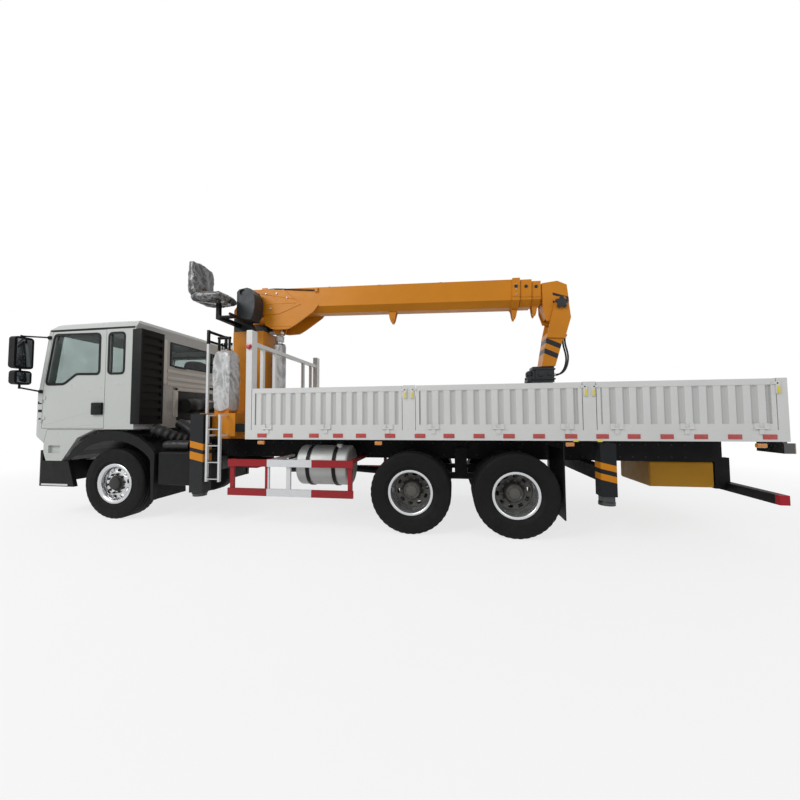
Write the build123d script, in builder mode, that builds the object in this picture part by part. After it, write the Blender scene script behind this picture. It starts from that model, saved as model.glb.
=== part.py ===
from build123d import *
from math import cos, radians, sin, tan
import os

# Three-axle truck with a straight telescopic crane behind the cab and a bed with drop sides.
# Millimetres. +X runs to the tail, +Y to the right-hand side, +Z up. The origin lies on the
# ground under the middle of the overall box. A station is a distance behind the front axle.

os.makedirs("parts", exist_ok=True)

# Layout along the length
wheelbase = 4600.0
tandem = 1350.0
rear_overhang = 2964.0
mirror_reach = 1580.0
lamp_depth = 56.0
bed_rear = wheelbase + tandem + rear_overhang
axle_x = (mirror_reach - bed_rear - lamp_depth) / 2

# Clearances
seat_gap = 0.3
slide_gap = 0.5
pin_gap = 0.05
free_gap = 6.0

# Wheels
tyre_radius = 538.0
tyre_width = 312.0
bead_radius = 287.0
front_wheel_y = 1020.0
rear_outer_y = 1080.0
rear_inner_y = 735.0
kingpin_y = 900.0
axle_z = tyre_radius
rear_stations = (wheelbase, wheelbase + tandem)

# Frame rails
rail_y = 425.0
rail_bottom = 900.0
rail_top = 1190.0
rail_flange = 80.0
rail_wall = 10.0
frame_front = -1150.0
frame_rear = bed_rear - 134.0

# Cab
cab_half = 1200.0
cab_wall = 60.0
cab_front = -1530.0
cab_rear = 345.0
cab_floor = 1374.0
cab_top = 3100.0
gutter_z = 2950.0
cab_corner = 120.0
door_front = -1345.0
door_rear = -190.0
door_axis_out = 8.0
hinge_x = -1290.0
hinge_z = 860.0

# Bed
bed_front = 2240.0
bed_half = 1250.0
bed_top = 1367.0
deck_rise = 4.0
rail_low = 1235.0
board_top = 1955.0
board_thick = 45.0
post_depth = 60.0
board_axis_out = 12.0
board_axis_up = 18.0
headboard_top = 2810.0

# Crane
slew_station = 1660.0
base_front = 1360.0
base_rear = 1950.0
base_low = 1266.0
base_high = 1610.0
base_half = 1060.0
beam_width = 160.0
beam_height = 244.5
column_front = 1360.0
column_rear = 1930.0
column_half = 290.0
column_top = 3050.0
boom_station = 1480.0
boom_z = 3400.0
boom_pitch = radians(1.5)
boom_half = 200.0
boom_wall = 8.0
section_step = 22.0
lift_station = 2080.0
lift_low_z = 1850.0
lift_high_z = 3100.0
jib_station = 6847.0
jib_z = 3292.0
tool_station = 6600.0


def at(station):
    return axle_x + station


def flank(side, near, far):
    return tuple(sorted((side * near, side * far)))


def block(x, y, z, mode=Mode.ADD):
    with Locations(((x[0] + x[1]) / 2, (y[0] + y[1]) / 2, (z[0] + z[1]) / 2)):
        Box(x[1] - x[0], y[1] - y[0], z[1] - z[0], mode=mode)


def outline_on(plane, points, grow=0.0):
    with BuildSketch(plane) as outline:
        with BuildLine():
            Polyline(*points, close=True)
        make_face()
        if grow:
            offset(amount=grow, kind=Kind.INTERSECTION)
    return outline.sketch


def plate(points, y, mode=Mode.ADD, grow=0.0):
    # A side-view outline of (station, height) points, given a thickness across the truck.
    plane = Plane(origin=(axle_x, y[1], 0), x_dir=(1, 0, 0), z_dir=(0, -1, 0))
    extrude(outline_on(plane, points, grow), amount=y[1] - y[0], mode=mode)


def rod(start, end, radius, mode=Mode.ADD):
    way = Vector(end) - Vector(start)
    with BuildSketch(Plane(origin=start, z_dir=way)) as disc:
        Circle(radius)
    extrude(disc.sketch, amount=way.length, mode=mode)


def cross_rod(station, z, y, radius, mode=Mode.ADD):
    rod((at(station), y[0], z), (at(station), y[1], z), radius, mode)


def turned(station, points, mode=Mode.ADD):
    # An outline of (radius, y) points turned about a wheel axis.
    plane = Plane(origin=(at(station), 0, axle_z), x_dir=(1, 0, 0), z_dir=(0, 0, 1))
    axis = Axis((at(station), 0, axle_z), (0, 1, 0))
    revolve(outline_on(plane, points), axis=axis, mode=mode)


def save(part, name):
    part.label = name
    export_step(part, "parts/" + name + ".step")


# Chassis frame: two channel rails, cross members, cab hinge pins, rear jack casings, underrun bar
jack_station = wheelbase + tandem + 1075.0
jack_y = 1140.0
rear_case_half = 90.0
rear_bore_half = 70.0
rear_case_low = 560.0
rear_case_high = 1200.0
under_station = bed_rear - 48.0
cross_stations = (-1105.0, 1500.0, 2900.0, 4100.0, wheelbase + tandem / 2, 7600.0, bed_rear - 200.0)

with BuildPart() as chassis_frame:
    for side in (-1, 1):
        block((at(frame_front), at(frame_rear)), flank(side, rail_y - rail_flange, rail_y),
              (rail_bottom, rail_top))
        block((at(frame_front), at(frame_rear)),
              flank(side, rail_y - rail_flange - 1, rail_y - rail_wall),
              (rail_bottom + rail_wall, rail_top - rail_wall), Mode.SUBTRACT)
    for station in cross_stations:
        block((at(station) - 30, at(station) + 30), (-rail_y + 5, rail_y - 5),
              (rail_bottom + 40, rail_top - 40))
    block((at(jack_station) - 75, at(jack_station) + 75), (-jack_y, jack_y), (730, rail_bottom + 5))
    for side in (-1, 1):
        block((at(jack_station) - rear_case_half, at(jack_station) + rear_case_half),
              flank(side, jack_y - rear_case_half, jack_y + rear_case_half),
              (rear_case_low, rear_case_high))
        block((at(jack_station) - rear_bore_half, at(jack_station) + rear_bore_half),
              flank(side, jack_y - rear_bore_half, jack_y + rear_bore_half),
              (rear_case_low - 1, rear_case_high - 12), Mode.SUBTRACT)
        block((at(under_station) - 180, at(under_station)),
              flank(side, rail_y - rail_flange, rail_y), (540, rail_bottom + 60))
        plate([(-1349, 800), (-1349, 905), (-1150, 1100), (-1090, 1100), (-1090, 900), (-1180, 800)],
              flank(side, rail_y - rail_flange, rail_y))
        cross_rod(hinge_x, hinge_z, flank(side, rail_y - 10, rail_y + 95), 30)
        block((at(250), at(330)), flank(side, rail_y - rail_flange, rail_y),
              (rail_top - 5, cab_floor - seat_gap))
    block((at(under_station) - 50, at(under_station) + 50), (-1200, 1200), (515, 625))
save(chassis_frame.part, "chassis_frame")

# Engine and gearbox as one plain block
with BuildPart() as engine:
    block((at(-800), at(560)), (-330, 330), (620, 1320))
    block((at(555), at(1150)), (-230, 230), (640, 1060))
    for station in (-500.0, 300.0):
        block((at(station) - 50, at(station) + 50),
              (-rail_y + rail_wall + seat_gap, rail_y - rail_wall - seat_gap),
              (1000, 1060))
    chamfer(engine.edges().group_by(Axis.Z)[-1], 60)
save(engine.part, "engine")

# Axles: front beam on leaf springs, two driven housings on a shared spring, prop shafts
with BuildPart() as axles:
    block((at(-50), at(50)), (-kingpin_y + 20, kingpin_y - 20), (axle_z - 50, axle_z + 50))
    for side in (-1, 1):
        rod((at(0), side * kingpin_y, axle_z - 50), (at(0), side * kingpin_y, axle_z + 50), 60)
        rod((at(0), side * kingpin_y, axle_z - 51), (at(0), side * kingpin_y, axle_z + 51),
            25 + pin_gap, Mode.SUBTRACT)
        plate([(-780, 700), (-400, 640), (400, 640), (780, 700), (780, 750), (400, 690), (-400, 690),
               (-780, 750)], flank(side, rail_y - rail_flange + 4, rail_y - 4))
        block((at(-60), at(60)), flank(side, rail_y - rail_flange + 4, rail_y - 4), (axle_z + 40, 645))
        for station in (-750.0, 750.0):
            block((at(station) - 35, at(station) + 35), flank(side, rail_y - rail_flange + 10, rail_y - 10),
                  (720, rail_bottom - seat_gap))
        mid = wheelbase + tandem / 2
        block((at(wheelbase) - 80, at(wheelbase + tandem) + 80), flank(side, 445, 535),
              (axle_z + 95, axle_z + 165))
        block((at(mid) - 90, at(mid) + 90), flank(side, rail_y + seat_gap, 540),
              (axle_z + 120, rail_bottom + 180))
    for station in rear_stations:
        cross_rod(station, axle_z, (-600, 600), 85)
        for side in (-1, 1):
            cross_rod(station, axle_z, flank(side, 590, 1060), 50)
            block((at(station) - 70, at(station) + 70), flank(side, 445, 535), (axle_z, axle_z + 120))
        with Locations((at(station), 0, axle_z + 20)):
            Sphere(215)
    rod((at(1150 + seat_gap), 0, 830), (at(1190), 0, 830), 75)
    rod((at(1185), 0, 830), (at(wheelbase - 150), 0, axle_z + 60), 55)
    rod((at(wheelbase + 150), 0, axle_z + 40), (at(wheelbase + tandem - 150), 0, axle_z + 40), 55)
save(axles.part, "axles")

# Steering knuckles with king pin, stub axle and arm, joined by a tie rod
# The rod is pinned on the left; its right end lies just under the other arm
arm_reach = 220.0
arm_y = kingpin_y - 70.0
arm_pin = 15.0
eye_low = axle_z - 138.0
eye_high = axle_z - 106.0
for side, name in ((-1, "knuckle_left"), (1, "knuckle_right")):
    with BuildPart() as knuckle:
        rod((at(0), side * kingpin_y, axle_z - 100), (at(0), side * kingpin_y, axle_z + 100), 25)
        for low in (-100, 56):
            block((at(-60), at(60)), flank(side, kingpin_y - 50, kingpin_y + 75),
                  (axle_z + low, axle_z + low + 44))
        block((at(-70), at(70)), flank(side, kingpin_y + 70, kingpin_y + 95), (axle_z - 100, axle_z + 100))
        cross_rod(0, axle_z, flank(side, kingpin_y + 90, front_wheel_y + 90), 45)
        block((at(40), at(arm_reach + 30)), flank(side, arm_y - 30, arm_y + 30), (axle_z - 100, axle_z - 60))
        pin_low = eye_low - 2 if side < 0 else eye_high + slide_gap
        rod((at(arm_reach), side * arm_y, pin_low), (at(arm_reach), side * arm_y, axle_z - 60), arm_pin)
    save(knuckle.part, name)

with BuildPart() as tie_rod:
    eye_mid = (eye_low + eye_high) / 2
    rod((at(arm_reach), -arm_y + 20, eye_mid), (at(arm_reach), arm_y - 20, eye_mid), 13)
    for side in (-1, 1):
        rod((at(arm_reach), side * arm_y, eye_low), (at(arm_reach), side * arm_y, eye_high), 32)
    rod((at(arm_reach), -arm_y, eye_low - 1), (at(arm_reach), -arm_y, eye_high + 1), arm_pin + pin_gap,
        Mode.SUBTRACT)
save(tie_rod.part, "tie_rod")


def tyre_outline(middle):
    half = tyre_width / 2
    right = [(bead_radius, 108), (300, 126), (340, half - 6), (430, half), (500, half - 6),
             (tyre_radius - 6, half - 26), (tyre_radius, half - 52)]
    left = [(r, -y) for r, y in reversed(right)]
    return [(r, middle + y) for r, y in right + left]


def signed(side, points):
    return [(r, side * y) for r, y in points]


# Front wheels: tyre on a dished rim with a nave
rim_radius = bead_radius - seat_gap
for side, name in ((-1, "wheel_front_left"), (1, "wheel_front_right")):
    middle = front_wheel_y
    with BuildPart() as wheel:
        turned(0, signed(side, tyre_outline(middle)))
        turned(0, signed(side, [(rim_radius, middle - 108), (rim_radius, middle + 108), (262, middle + 108),
                                (256, middle + 84), (150, middle + 96), (140, middle + 136),
                                 (95, middle + 150),
                                (0, middle + 150), (0, middle + 110), (90, middle + 100), (110, middle - 15),
                                (140, middle - 15), (150, middle + 66), (240, middle + 60),
                                (262, middle - 108)]))
        turned(0, signed(side, [(45 + pin_gap, middle - 15), (45 + pin_gap, middle + 95), (111, middle + 95),
                                (111, middle - 15)]))
    save(wheel.part, name)

# Twin wheels: two tyres on two rims bolted back to back on one hub
rear_names = (("wheel_mid_left", -1, 0), ("wheel_mid_right", 1, 0),
              ("wheel_rear_left", -1, 1), ("wheel_rear_right", 1, 1))
disc_y = (rear_outer_y + rear_inner_y) / 2
for name, side, row in rear_names:
    station = rear_stations[row]
    with BuildPart() as wheel:
        for middle in (rear_outer_y, rear_inner_y):
            turned(station, signed(side, tyre_outline(middle)))
        turned(station, signed(side, [(rim_radius, rear_outer_y + 108), (264, rear_outer_y + 108),
                                      (250, disc_y + 30), (160, disc_y + 16), (150, disc_y + 90),
                                      (120, disc_y + 150), (70, disc_y + 175), (0, disc_y + 175),
                                      (0, disc_y + 155), (50 + pin_gap, disc_y + 155),
                                      (50 + pin_gap, disc_y - 200), (130, disc_y - 200), (150, disc_y - 16),
                                      (250, disc_y - 30), (264, rear_inner_y - 108),
                                      (rim_radius, rear_inner_y - 108)]))
    save(wheel.part, name)

# Cab shell: side profile, plan and front view drawn in by the same wall thickness
cab_profile = [(-1300, 1160), (-1470, 1285), (-1510, 1490), (cab_front, 1840), (-1420, 2040), (-1260, 2980),
               (-1154, 3080), (-200, cab_top), (300, cab_top - 15), (cab_rear, cab_top - 70),
               (cab_rear, cab_floor), (-1240, cab_floor)]
screen_low = (-1420.0, 2040.0)
screen_high = (-1260.0, 2980.0)


def cab_form(inset):
    half = cab_half - inset
    with BuildPart() as form:
        plate(cab_profile, (-half, half), grow=-inset)
        with BuildSketch(Plane.XY.offset(1000)) as plan:
            with Locations((at((cab_front + cab_rear) / 2), 0)):
                Rectangle(cab_rear - cab_front - 2 * inset, 2 * half)
            fillet(plan.vertices().group_by(Axis.X)[0], max(cab_corner - inset, 20))
        extrude(plan.sketch, amount=2400, mode=Mode.INTERSECT)
        front_view = [(-cab_half, 1000), (-cab_half, gutter_z + 15), (-cab_half + 60, cab_top - 45),
                      (-cab_half + 150, cab_top + 10), (cab_half - 150, cab_top + 10),
                      (cab_half - 60, cab_top - 45), (cab_half, gutter_z + 15), (cab_half, 1000)]
        plane = Plane(origin=(at(-2000), 0, 0), x_dir=(0, 1, 0), z_dir=(1, 0, 0))
        extrude(outline_on(plane, front_view, -inset), amount=3000, mode=Mode.INTERSECT)
    return form.part


door_outline = [(door_front, cab_floor + 20), (door_rear, cab_floor + 20), (door_rear, gutter_z - 10),
                (door_front + 155, gutter_z - 10), (door_front, 2040)]
door_window = [(-1285, 2104), (-956, 2104), (-723, 2261), (-307, 2251), (-311, 2867), (-1148, 2880)]
quarter_window = [(-125, 2249), (140, 2249), (140, 2870), (-125, 2870)]
screen_y = cab_half - 170.0
screen_z = (2075.0, 2925.0)
back_y = 540.0
back_z = (2450.0, 2850.0)
panel_y = cab_half - 200.0
panel_z = 2000.0
cab_outer = cab_form(0)
cab_inner = cab_form(cab_wall)
far_x = (at(-3000), at(3000))
wide_y = (-3000, 3000)

with BuildPart() as cab_roof:
    add(cab_outer)
    add(cab_inner, mode=Mode.SUBTRACT)
    block(far_x, wide_y, (0, gutter_z), Mode.SUBTRACT)
save(cab_roof.part, "cab_roof")

with BuildPart() as cab_front_panel:
    add(cab_outer)
    add(cab_inner, mode=Mode.SUBTRACT)
    block((at(-1700), at(-1245)), (-panel_y, panel_y), (1000, panel_z), Mode.INTERSECT)
save(cab_front_panel.part, "cab_front")

door_hinge_z = ((1480.0, 1530.0), (1800.0, 1850.0))
with BuildPart() as cab_body:
    add(cab_outer)
    add(cab_inner, mode=Mode.SUBTRACT)
    block(far_x, wide_y, (gutter_z, 4000), Mode.SUBTRACT)
    block((at(-1700), at(-1245)), (-panel_y, panel_y), (1000, panel_z), Mode.SUBTRACT)
    block((at(-1700), at(-1100)), (-screen_y, screen_y), screen_z, Mode.SUBTRACT)
    block((at(200), at(500)), (-back_y, back_y), back_z, Mode.SUBTRACT)
    for side in (-1, 1):
        plate(door_outline, flank(side, cab_half - cab_wall - 20, cab_half + 20), Mode.SUBTRACT, free_gap)
        plate(quarter_window, flank(side, cab_half - cab_wall - 20, cab_half + 20), Mode.SUBTRACT)
        plate([(hinge_x - 45, 815), (-1060, 815), (-1060, cab_floor + 30), (-1140, cab_floor + 30),
               (-1140, 905), (hinge_x - 45, 905)], flank(side, rail_y + 10, rail_y + 85))
        cross_rod(hinge_x, hinge_z, flank(side, rail_y, rail_y + 90), 30 + pin_gap, Mode.SUBTRACT)
        for low, high in door_hinge_z:
            block((at(door_front - 55), at(door_front)), flank(side, cab_half - 4, cab_half + door_axis_out),
                  (low, high))
            block((at(door_front - free_gap), at(door_front) + 1), flank(side, cab_half - 70, cab_half),
                  (low - 1, high + 1), Mode.SUBTRACT)
            rod((at(door_front), side * (cab_half + door_axis_out), low),
                (at(door_front), side * (cab_half + door_axis_out), high), 8)
save(cab_body.part, "cab_body")

for side, name in ((-1, "door_left"), (1, "door_right")):
    with BuildPart() as door:
        plate(door_outline, flank(side, cab_half - cab_wall, cab_half))
        plate(door_window, flank(side, cab_half - cab_wall - 5, cab_half + 5), Mode.SUBTRACT)
        for low, high in door_hinge_z:
            block((at(door_front), at(door_front + 55)),
                  flank(side, cab_half - 10, cab_half + door_axis_out),
                  (high + seat_gap, high + 50))
            rod((at(door_front), side * (cab_half + door_axis_out), high + seat_gap),
                (at(door_front), side * (cab_half + door_axis_out), high + 50), 8)
        block((at(door_rear - 200), at(door_rear - 20)), flank(side, cab_half - 5, cab_half + 25),
              (1690, 1740))
        block((at(door_rear - 190), at(door_rear - 30)), flank(side, cab_half - 25, cab_half + 12),
              (1615, 1690), Mode.SUBTRACT)
    save(door.part, name)
    with BuildPart() as pane:
        plate(door_window, flank(side, cab_half - 30, cab_half - 22), grow=-seat_gap)
    save(pane.part, name + "_glass")

screen_run = screen_high[0] - screen_low[0]
screen_rise = screen_high[1] - screen_low[1]


def screen_x(z, depth):
    return screen_low[0] + (z - screen_low[1]) * screen_run / screen_rise + depth


with BuildPart() as cab_glass:
    low_z = screen_z[0] + seat_gap
    high_z = screen_z[1] - seat_gap
    plate([(screen_x(low_z, 20), low_z), (screen_x(low_z, 30), low_z), (screen_x(high_z, 30), high_z),
           (screen_x(high_z, 20), high_z)], (-screen_y + seat_gap, screen_y - seat_gap))
    block((at(cab_rear - 32), at(cab_rear - 24)), (-back_y + seat_gap, back_y - seat_gap),
          (back_z[0] + seat_gap, back_z[1] - seat_gap))
    for side in (-1, 1):
        plate(quarter_window, flank(side, cab_half - 30, cab_half - 22), grow=-seat_gap)
save(cab_glass.part, "cab_glass")

# Cab interior: dashboard with steering wheel, two seats
floor_z = cab_floor + cab_wall
with BuildPart() as cab_interior:
    plate([(-1300, floor_z), (-1140, floor_z), (-1040, 1900), (-1100, 2010), (-1350, 2010), (-1400, 1900)],
          (-cab_half + 110, cab_half - 110))
    rod((at(-1080), -550, 1900), (at(-870), -550, 2030), 35)
    ring_plane = Plane(origin=(at(-870), -550, 2030), z_dir=(210, 0, 130))
    with Locations(ring_plane):
        Torus(215, 18)
        Box(420, 40, 24)
    for y in (-550.0, 550.0):
        block((at(-560), at(-40)), (y - 240, y + 240), (floor_z, 1900))
        plate([(-120, 1850), (-40, 2620), (60, 2620), (60, 1850)], (y - 240, y + 240))
save(cab_interior.part, "cab_interior")

# Cab trim: grille bars, mirrors on arms, louvred intake stack
skin = cab_form(-seat_gap)
proud = cab_form(-14)
grille_bars = ((1330, 1390), (1430, 1490), (1530, 1590), (1630, 1690))
with BuildPart() as grille:
    add(proud)
    add(skin, mode=Mode.SUBTRACT)
    with BuildPart(mode=Mode.PRIVATE) as bars:
        for low, high in grille_bars:
            block((at(-1700), at(-1300)), (-820, 820), (low, high))
        for y in (-820.0, 780.0):
            block((at(-1700), at(-1300)), (y, y + 40), (1330, 1690))
    add(bars.part, mode=Mode.INTERSECT)

mirror_out = 188.0
mirror_deep = 110.0
stack_width = 420.0
post_x = at(-mirror_reach + mirror_deep / 2)
post_y = cab_half + mirror_out + 7
mirror_sets = []
for side in (-1, 1):
    with BuildPart() as mirror:
        rod((post_x, side * post_y, 2015), (post_x, side * post_y, 2862), 15)
        for wide, tall, z in ((250, 500, 2580), (220, 220, 2190)):
            plane = Plane(origin=(at(-mirror_reach), side * (cab_half + mirror_out), z), x_dir=(0, 1, 0),
                          z_dir=(1, 0, 0))
            with BuildSketch(plane) as shell:
                RectangleRounded(wide, tall, 50)
            extrude(shell.sketch, amount=mirror_deep)
        rod((post_x, side * post_y, 2846), (at(-1245), side * (cab_half + 11), 2851), 12)
        block((at(-1272), at(-1222)), flank(side, cab_half + seat_gap, cab_half + 24), (2825, 2875))
        rod((post_x, side * post_y, 2032), (at(-1380), side * (cab_half + 14), 1981), 13)
        block((at(-1406), at(-1354)), flank(side, cab_half + seat_gap, cab_half + 27), (1955, 2005))
    mirror_sets.append(mirror.part)

with BuildPart() as stack:
    block((at(cab_rear + seat_gap), at(cab_rear + 105)), (-cab_half, -cab_half + stack_width), (1450, 2930))
    for index in range(11):
        low = 1520 + index * 125
        block((at(cab_rear + 85), at(cab_rear + 110)), (-cab_half + 40, -cab_half + stack_width - 40),
              (low, low + 60), Mode.SUBTRACT)
        block((at(cab_rear + 30), at(cab_rear + 80)), (-cab_half - 5, -cab_half + 20), (low, low + 60),
              Mode.SUBTRACT)
save(Compound(children=[grille.part, stack.part] + mirror_sets), "cab_trim")

# Front bumper wrapped round the corners, with headlamps
bumper_top = 880.0
headlamp_y = (cab_half - 410.0, cab_half - 120.0)
with BuildPart() as front_bumper:
    block((at(-1400), at(-690)), (-cab_half, cab_half), (480, bumper_top))
    block((at(-1400), at(-1300)), (-cab_half, cab_half), (bumper_top, 1040))
    fillet(front_bumper.edges().filter_by(Axis.Z).group_by(Axis.X)[0], 80)
    block((at(-1358), at(-600)), (-cab_half + 60, cab_half - 60), (400, 1100), Mode.SUBTRACT)
    for side in (-1, 1):
        plate([(-690, 400), (-500, 400), (-500, 900), (-820, 900), (-690, 480)],
              flank(side, cab_half - 80, cab_half + 10), Mode.SUBTRACT)
        block((at(-1360), at(-1150 - seat_gap)), flank(side, rail_y + seat_gap, rail_y + 8), (600, 830))
        block((at(-1402), at(-1380)), flank(side, *headlamp_y), (610, 770), Mode.SUBTRACT)
save(front_bumper.part, "front_bumper")

# Entry steps below the doors stay on the chassis when the cab tilts
step_low = bumper_top + seat_gap
step_top = cab_floor - free_gap
with BuildPart() as entry_steps:
    for side in (-1, 1):
        plate([(-1294, 1158), (-1292, 1010), (-1240, step_low), (-940, step_low), (-660, 1245),
              (-364, step_top),
               (-1235, step_top)], flank(side, cab_half - cab_wall, cab_half))
        block((at(-1230), at(-940)), flank(side, 830, cab_half - 10), (step_low + 20, step_low + 50))
        block((at(-1230), at(-940)), flank(side, 800, 840), (step_low + 20, step_top))
        block((at(-1200), at(-980)), flank(side, cab_half - 40, cab_half + 5), (1000, 1120), Mode.SUBTRACT)
        block((at(-1200), at(-980)), flank(side, cab_half - 130, cab_half - 50), (990, 1000))
save(entry_steps.part, "entry_steps")

with BuildPart() as lamps:
    for side in (-1, 1):
        block((at(-1405), at(-1380 - seat_gap)),
              flank(side, headlamp_y[0] + seat_gap, headlamp_y[1] - seat_gap),
              (610 + seat_gap, 770 - seat_gap))
        block((at(bed_rear - 60), at(bed_rear + lamp_depth)), flank(side, bed_half - 370, bed_half - 10),
              (1100, 1218))
        block((at(bed_rear - 60), at(bed_rear - 10)), flank(side, bed_half - 270, bed_half - 30),
              (1210, rail_low - seat_gap))
save(lamps.part, "lamps")

# Mudguards over the front wheels and flaps behind the rear ones
arch_turns = [radians(angle) for angle in range(40, 141, 10)]


def arch(reach, rise):
    return [(-reach * cos(turn), axle_z + rise * sin(turn)) for turn in arch_turns]


arch_inner = [(-790, 892)] + arch(820, 668) + [(672, 905), (700, 320)]
arch_outer = [(735, 320), (745, 1010)] + arch(930, 818)[::-1] + [(-805, 950), (-900, 892)]
arch_skin = [(724, 320), (697, 908)] + arch(848, 692)[::-1] + [(-818, 892)]
flap_station = wheelbase + tandem + tyre_radius + 22
with BuildPart() as mudguards:
    for side in (-1, 1):
        plate(arch_inner + arch_outer, flank(side, cab_half - 55, cab_half + 15))
        plate(arch_inner + arch_skin, flank(side, 560, cab_half - 50))
        block((at(545), at(605)), flank(side, rail_y + seat_gap, 575), (1000, 1060))
        block((at(flap_station), at(flap_station + 15)), flank(side, 575, 1235), (260, 1130))
        block((at(flap_station), at(flap_station + 15)), flank(side, bed_half - 55, bed_half - 15),
              (1120, rail_low - seat_gap))
save(mudguards.part, "mudguards")

# Tank and boxes hung on the frame
tank_z = 850.0
tank_y = 900.0
with BuildPart() as fuel_tank:
    rod((at(2970), -tank_y, tank_z), (at(3720), -tank_y, tank_z), 284)
    fillet(fuel_tank.edges().filter_by(GeomType.CIRCLE), 35)
    rod((at(3560), -tank_y - 90, tank_z + 250), (at(3560), -tank_y - 90, tank_z + 315), 45)
    for station in (3120.0, 3500.0):
        rod((at(station), -tank_y, tank_z), (at(station + 60), -tank_y, tank_z), 291)
        block((at(station), at(station + 60)), (-tank_y, -rail_y - seat_gap), (920, 1000))
save(fuel_tank.part, "fuel_tank")

with BuildPart() as side_boxes:
    for side in (-1, 1):
        block((at(790), at(1340)), flank(side, 560, 1200), (545, 1036))
    fillet(side_boxes.edges(), 25)
    for side in (-1, 1):
        block((at(850), at(1280)), flank(side, rail_y + seat_gap, 580), (920, 1000))
    block((at(base_rear + seat_gap), at(base_rear + 240)), (-1050, -880), (1330, 1450))
save(side_boxes.part, "side_boxes")

# Side guards: two rails on posts either side
guard_y = 1250.0
guard_front = base_rear + 30.0
with BuildPart() as side_guards:
    for side in (-1, 1):
        for low in (445.0, 852.0):
            block((at(guard_front), at(3830)), flank(side, guard_y - 30, guard_y), (low, low + 100))
        for station in (guard_front + 20, 2540.0, 2860.0, 3750.0):
            block((at(station), at(station + 60)), flank(side, guard_y - 60, guard_y - 25), (445, 952))
        for station in (2540.0, 2860.0, 3750.0):
            block((at(station), at(station + 60)), flank(side, rail_y + seat_gap, guard_y - 50), (905, 945))
save(side_guards.part, "side_guards")

# Yellow ballast box between the rails at the tail
with BuildPart() as counterweight:
    block((at(bed_rear - 1040), at(bed_rear - 240)), (-rail_y, rail_y), (550, rail_bottom - seat_gap))
    fillet(counterweight.edges().filter_by(Axis.X), 30)
    chamfer(counterweight.edges().filter_by(Axis.Y), 12)
save(counterweight.part, "counterweight")

# Bed floor with side rails, cross beams, sleepers and the posts between the boards
bed_length = bed_rear - bed_front
post_ranges = ((bed_front + 2272, bed_front + 2439), (bed_front + 4510, bed_front + 4658),
               (bed_rear - 108, bed_rear))
board_gap = 10.0
board_ranges = ((bed_front + 100, post_ranges[0][0] - board_gap),
                (post_ranges[0][1] + board_gap, post_ranges[1][0] - board_gap),
                (post_ranges[1][1] + board_gap, post_ranges[2][0] - board_gap))
axis_y = bed_half + board_axis_out
axis_z = bed_top + board_axis_up
tail_axis = bed_rear + board_axis_out


def hinge_spots(low, high):
    run = high - low
    return (low + 0.1 * run, low + 0.5 * run, high - 0.1 * run)


with BuildPart() as bed_floor:
    block((at(bed_front), at(bed_rear)), (-bed_half, bed_half), (bed_top - 37, bed_top))
    for side in (-1, 1):
        block((at(bed_front), at(bed_rear)), flank(side, bed_half - post_depth, bed_half),
              (rail_low, bed_top))
        block((at(bed_front), at(bed_rear - 40)), flank(side, rail_y - rail_flange, rail_y),
              (rail_top, bed_top - 30))
        for low, high in post_ranges:
            block((at(low), at(high)), flank(side, bed_half - post_depth, bed_half),
                  (bed_top - 10, board_top + 5))
        for low, high in board_ranges:
            for station in hinge_spots(low, high):
                block((at(station), at(station + 50)), flank(side, bed_half - 5, axis_y), (1320, bed_top))
                block((at(station), at(station + 50)), flank(side, bed_half + 3, axis_y),
                      (bed_top - 5, axis_z))
                rod((at(station), side * axis_y, axis_z), (at(station + 50), side * axis_y, axis_z), 9)
    block((at(bed_front + 110), at(bed_rear - 70)),
          (-bed_half + post_depth + 10, bed_half - post_depth - 10),
          (bed_top - 5, bed_top + deck_rise))
    for station in (bed_front, bed_rear - 60):
        block((at(station), at(station + 60)), (-bed_half, bed_half), (rail_low, bed_top))
    for index in range(1, 14):
        station = bed_front + index * bed_length / 14
        block((at(station) - 25, at(station) + 25), (-bed_half, bed_half), (rail_low + 25, bed_top))
    for y in hinge_spots(-bed_half + 80, bed_half - 80):
        block((at(bed_rear - 5), at(tail_axis)), (y, y + 50), (1320, bed_top))
        block((at(bed_rear + 3), at(tail_axis)), (y, y + 50), (bed_top - 5, axis_z))
        rod((at(tail_axis), y, axis_z), (at(tail_axis), y + 50, axis_z), 9)
save(bed_floor.part, "bed_floor")

# Drop boards: a frame round a pressed corrugated field, hung on three knuckles
rib_pitch = 145.0
rim_low = 70.0
rim_side = 45.0


def corrugation(low, high):
    count = int((high - low) / rib_pitch)
    step = (high - low) / count
    front = []
    for index in range(count):
        start = low + index * step
        front += [(start, 22), (start + 0.18 * step, 4), (start + 0.62 * step, 4), (start + 0.8 * step, 22)]
    front.append((high, 22))
    return front + [(high, 40), (low, 40)]


for side, hand in ((-1, "left"), (1, "right")):
    for index, (low, high) in enumerate(board_ranges):
        with BuildPart() as board:
            depth = flank(side, bed_half - board_thick, bed_half)
            block((at(low), at(high)), depth, (bed_top + seat_gap, board_top))
            block((at(low + rim_side), at(high - rim_side)),
                  flank(side, bed_half - board_thick - 5, bed_half + 5),
                  (bed_top + rim_low, board_top - rim_low), Mode.SUBTRACT)
            plane = Plane.XY.offset(bed_top + rim_low - 2)
            wave = [(at(x), side * (bed_half - y)) for x, y in corrugation(low + rim_side, high - rim_side)]
            extrude(outline_on(plane, wave), amount=board_top - bed_top - 2 * rim_low + 4)
            for station in hinge_spots(low, high):
                for start in (station - 45 - seat_gap, station + 50 + seat_gap):
                    rod((at(start), side * axis_y, axis_z), (at(start + 45), side * axis_y, axis_z), 10)
                    block((at(start), at(start + 45)), flank(side, bed_half - 5, axis_y),
                          (axis_z, axis_z + 60))
        save(board.part, "board_" + hand + "_" + str(index + 1))

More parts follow.
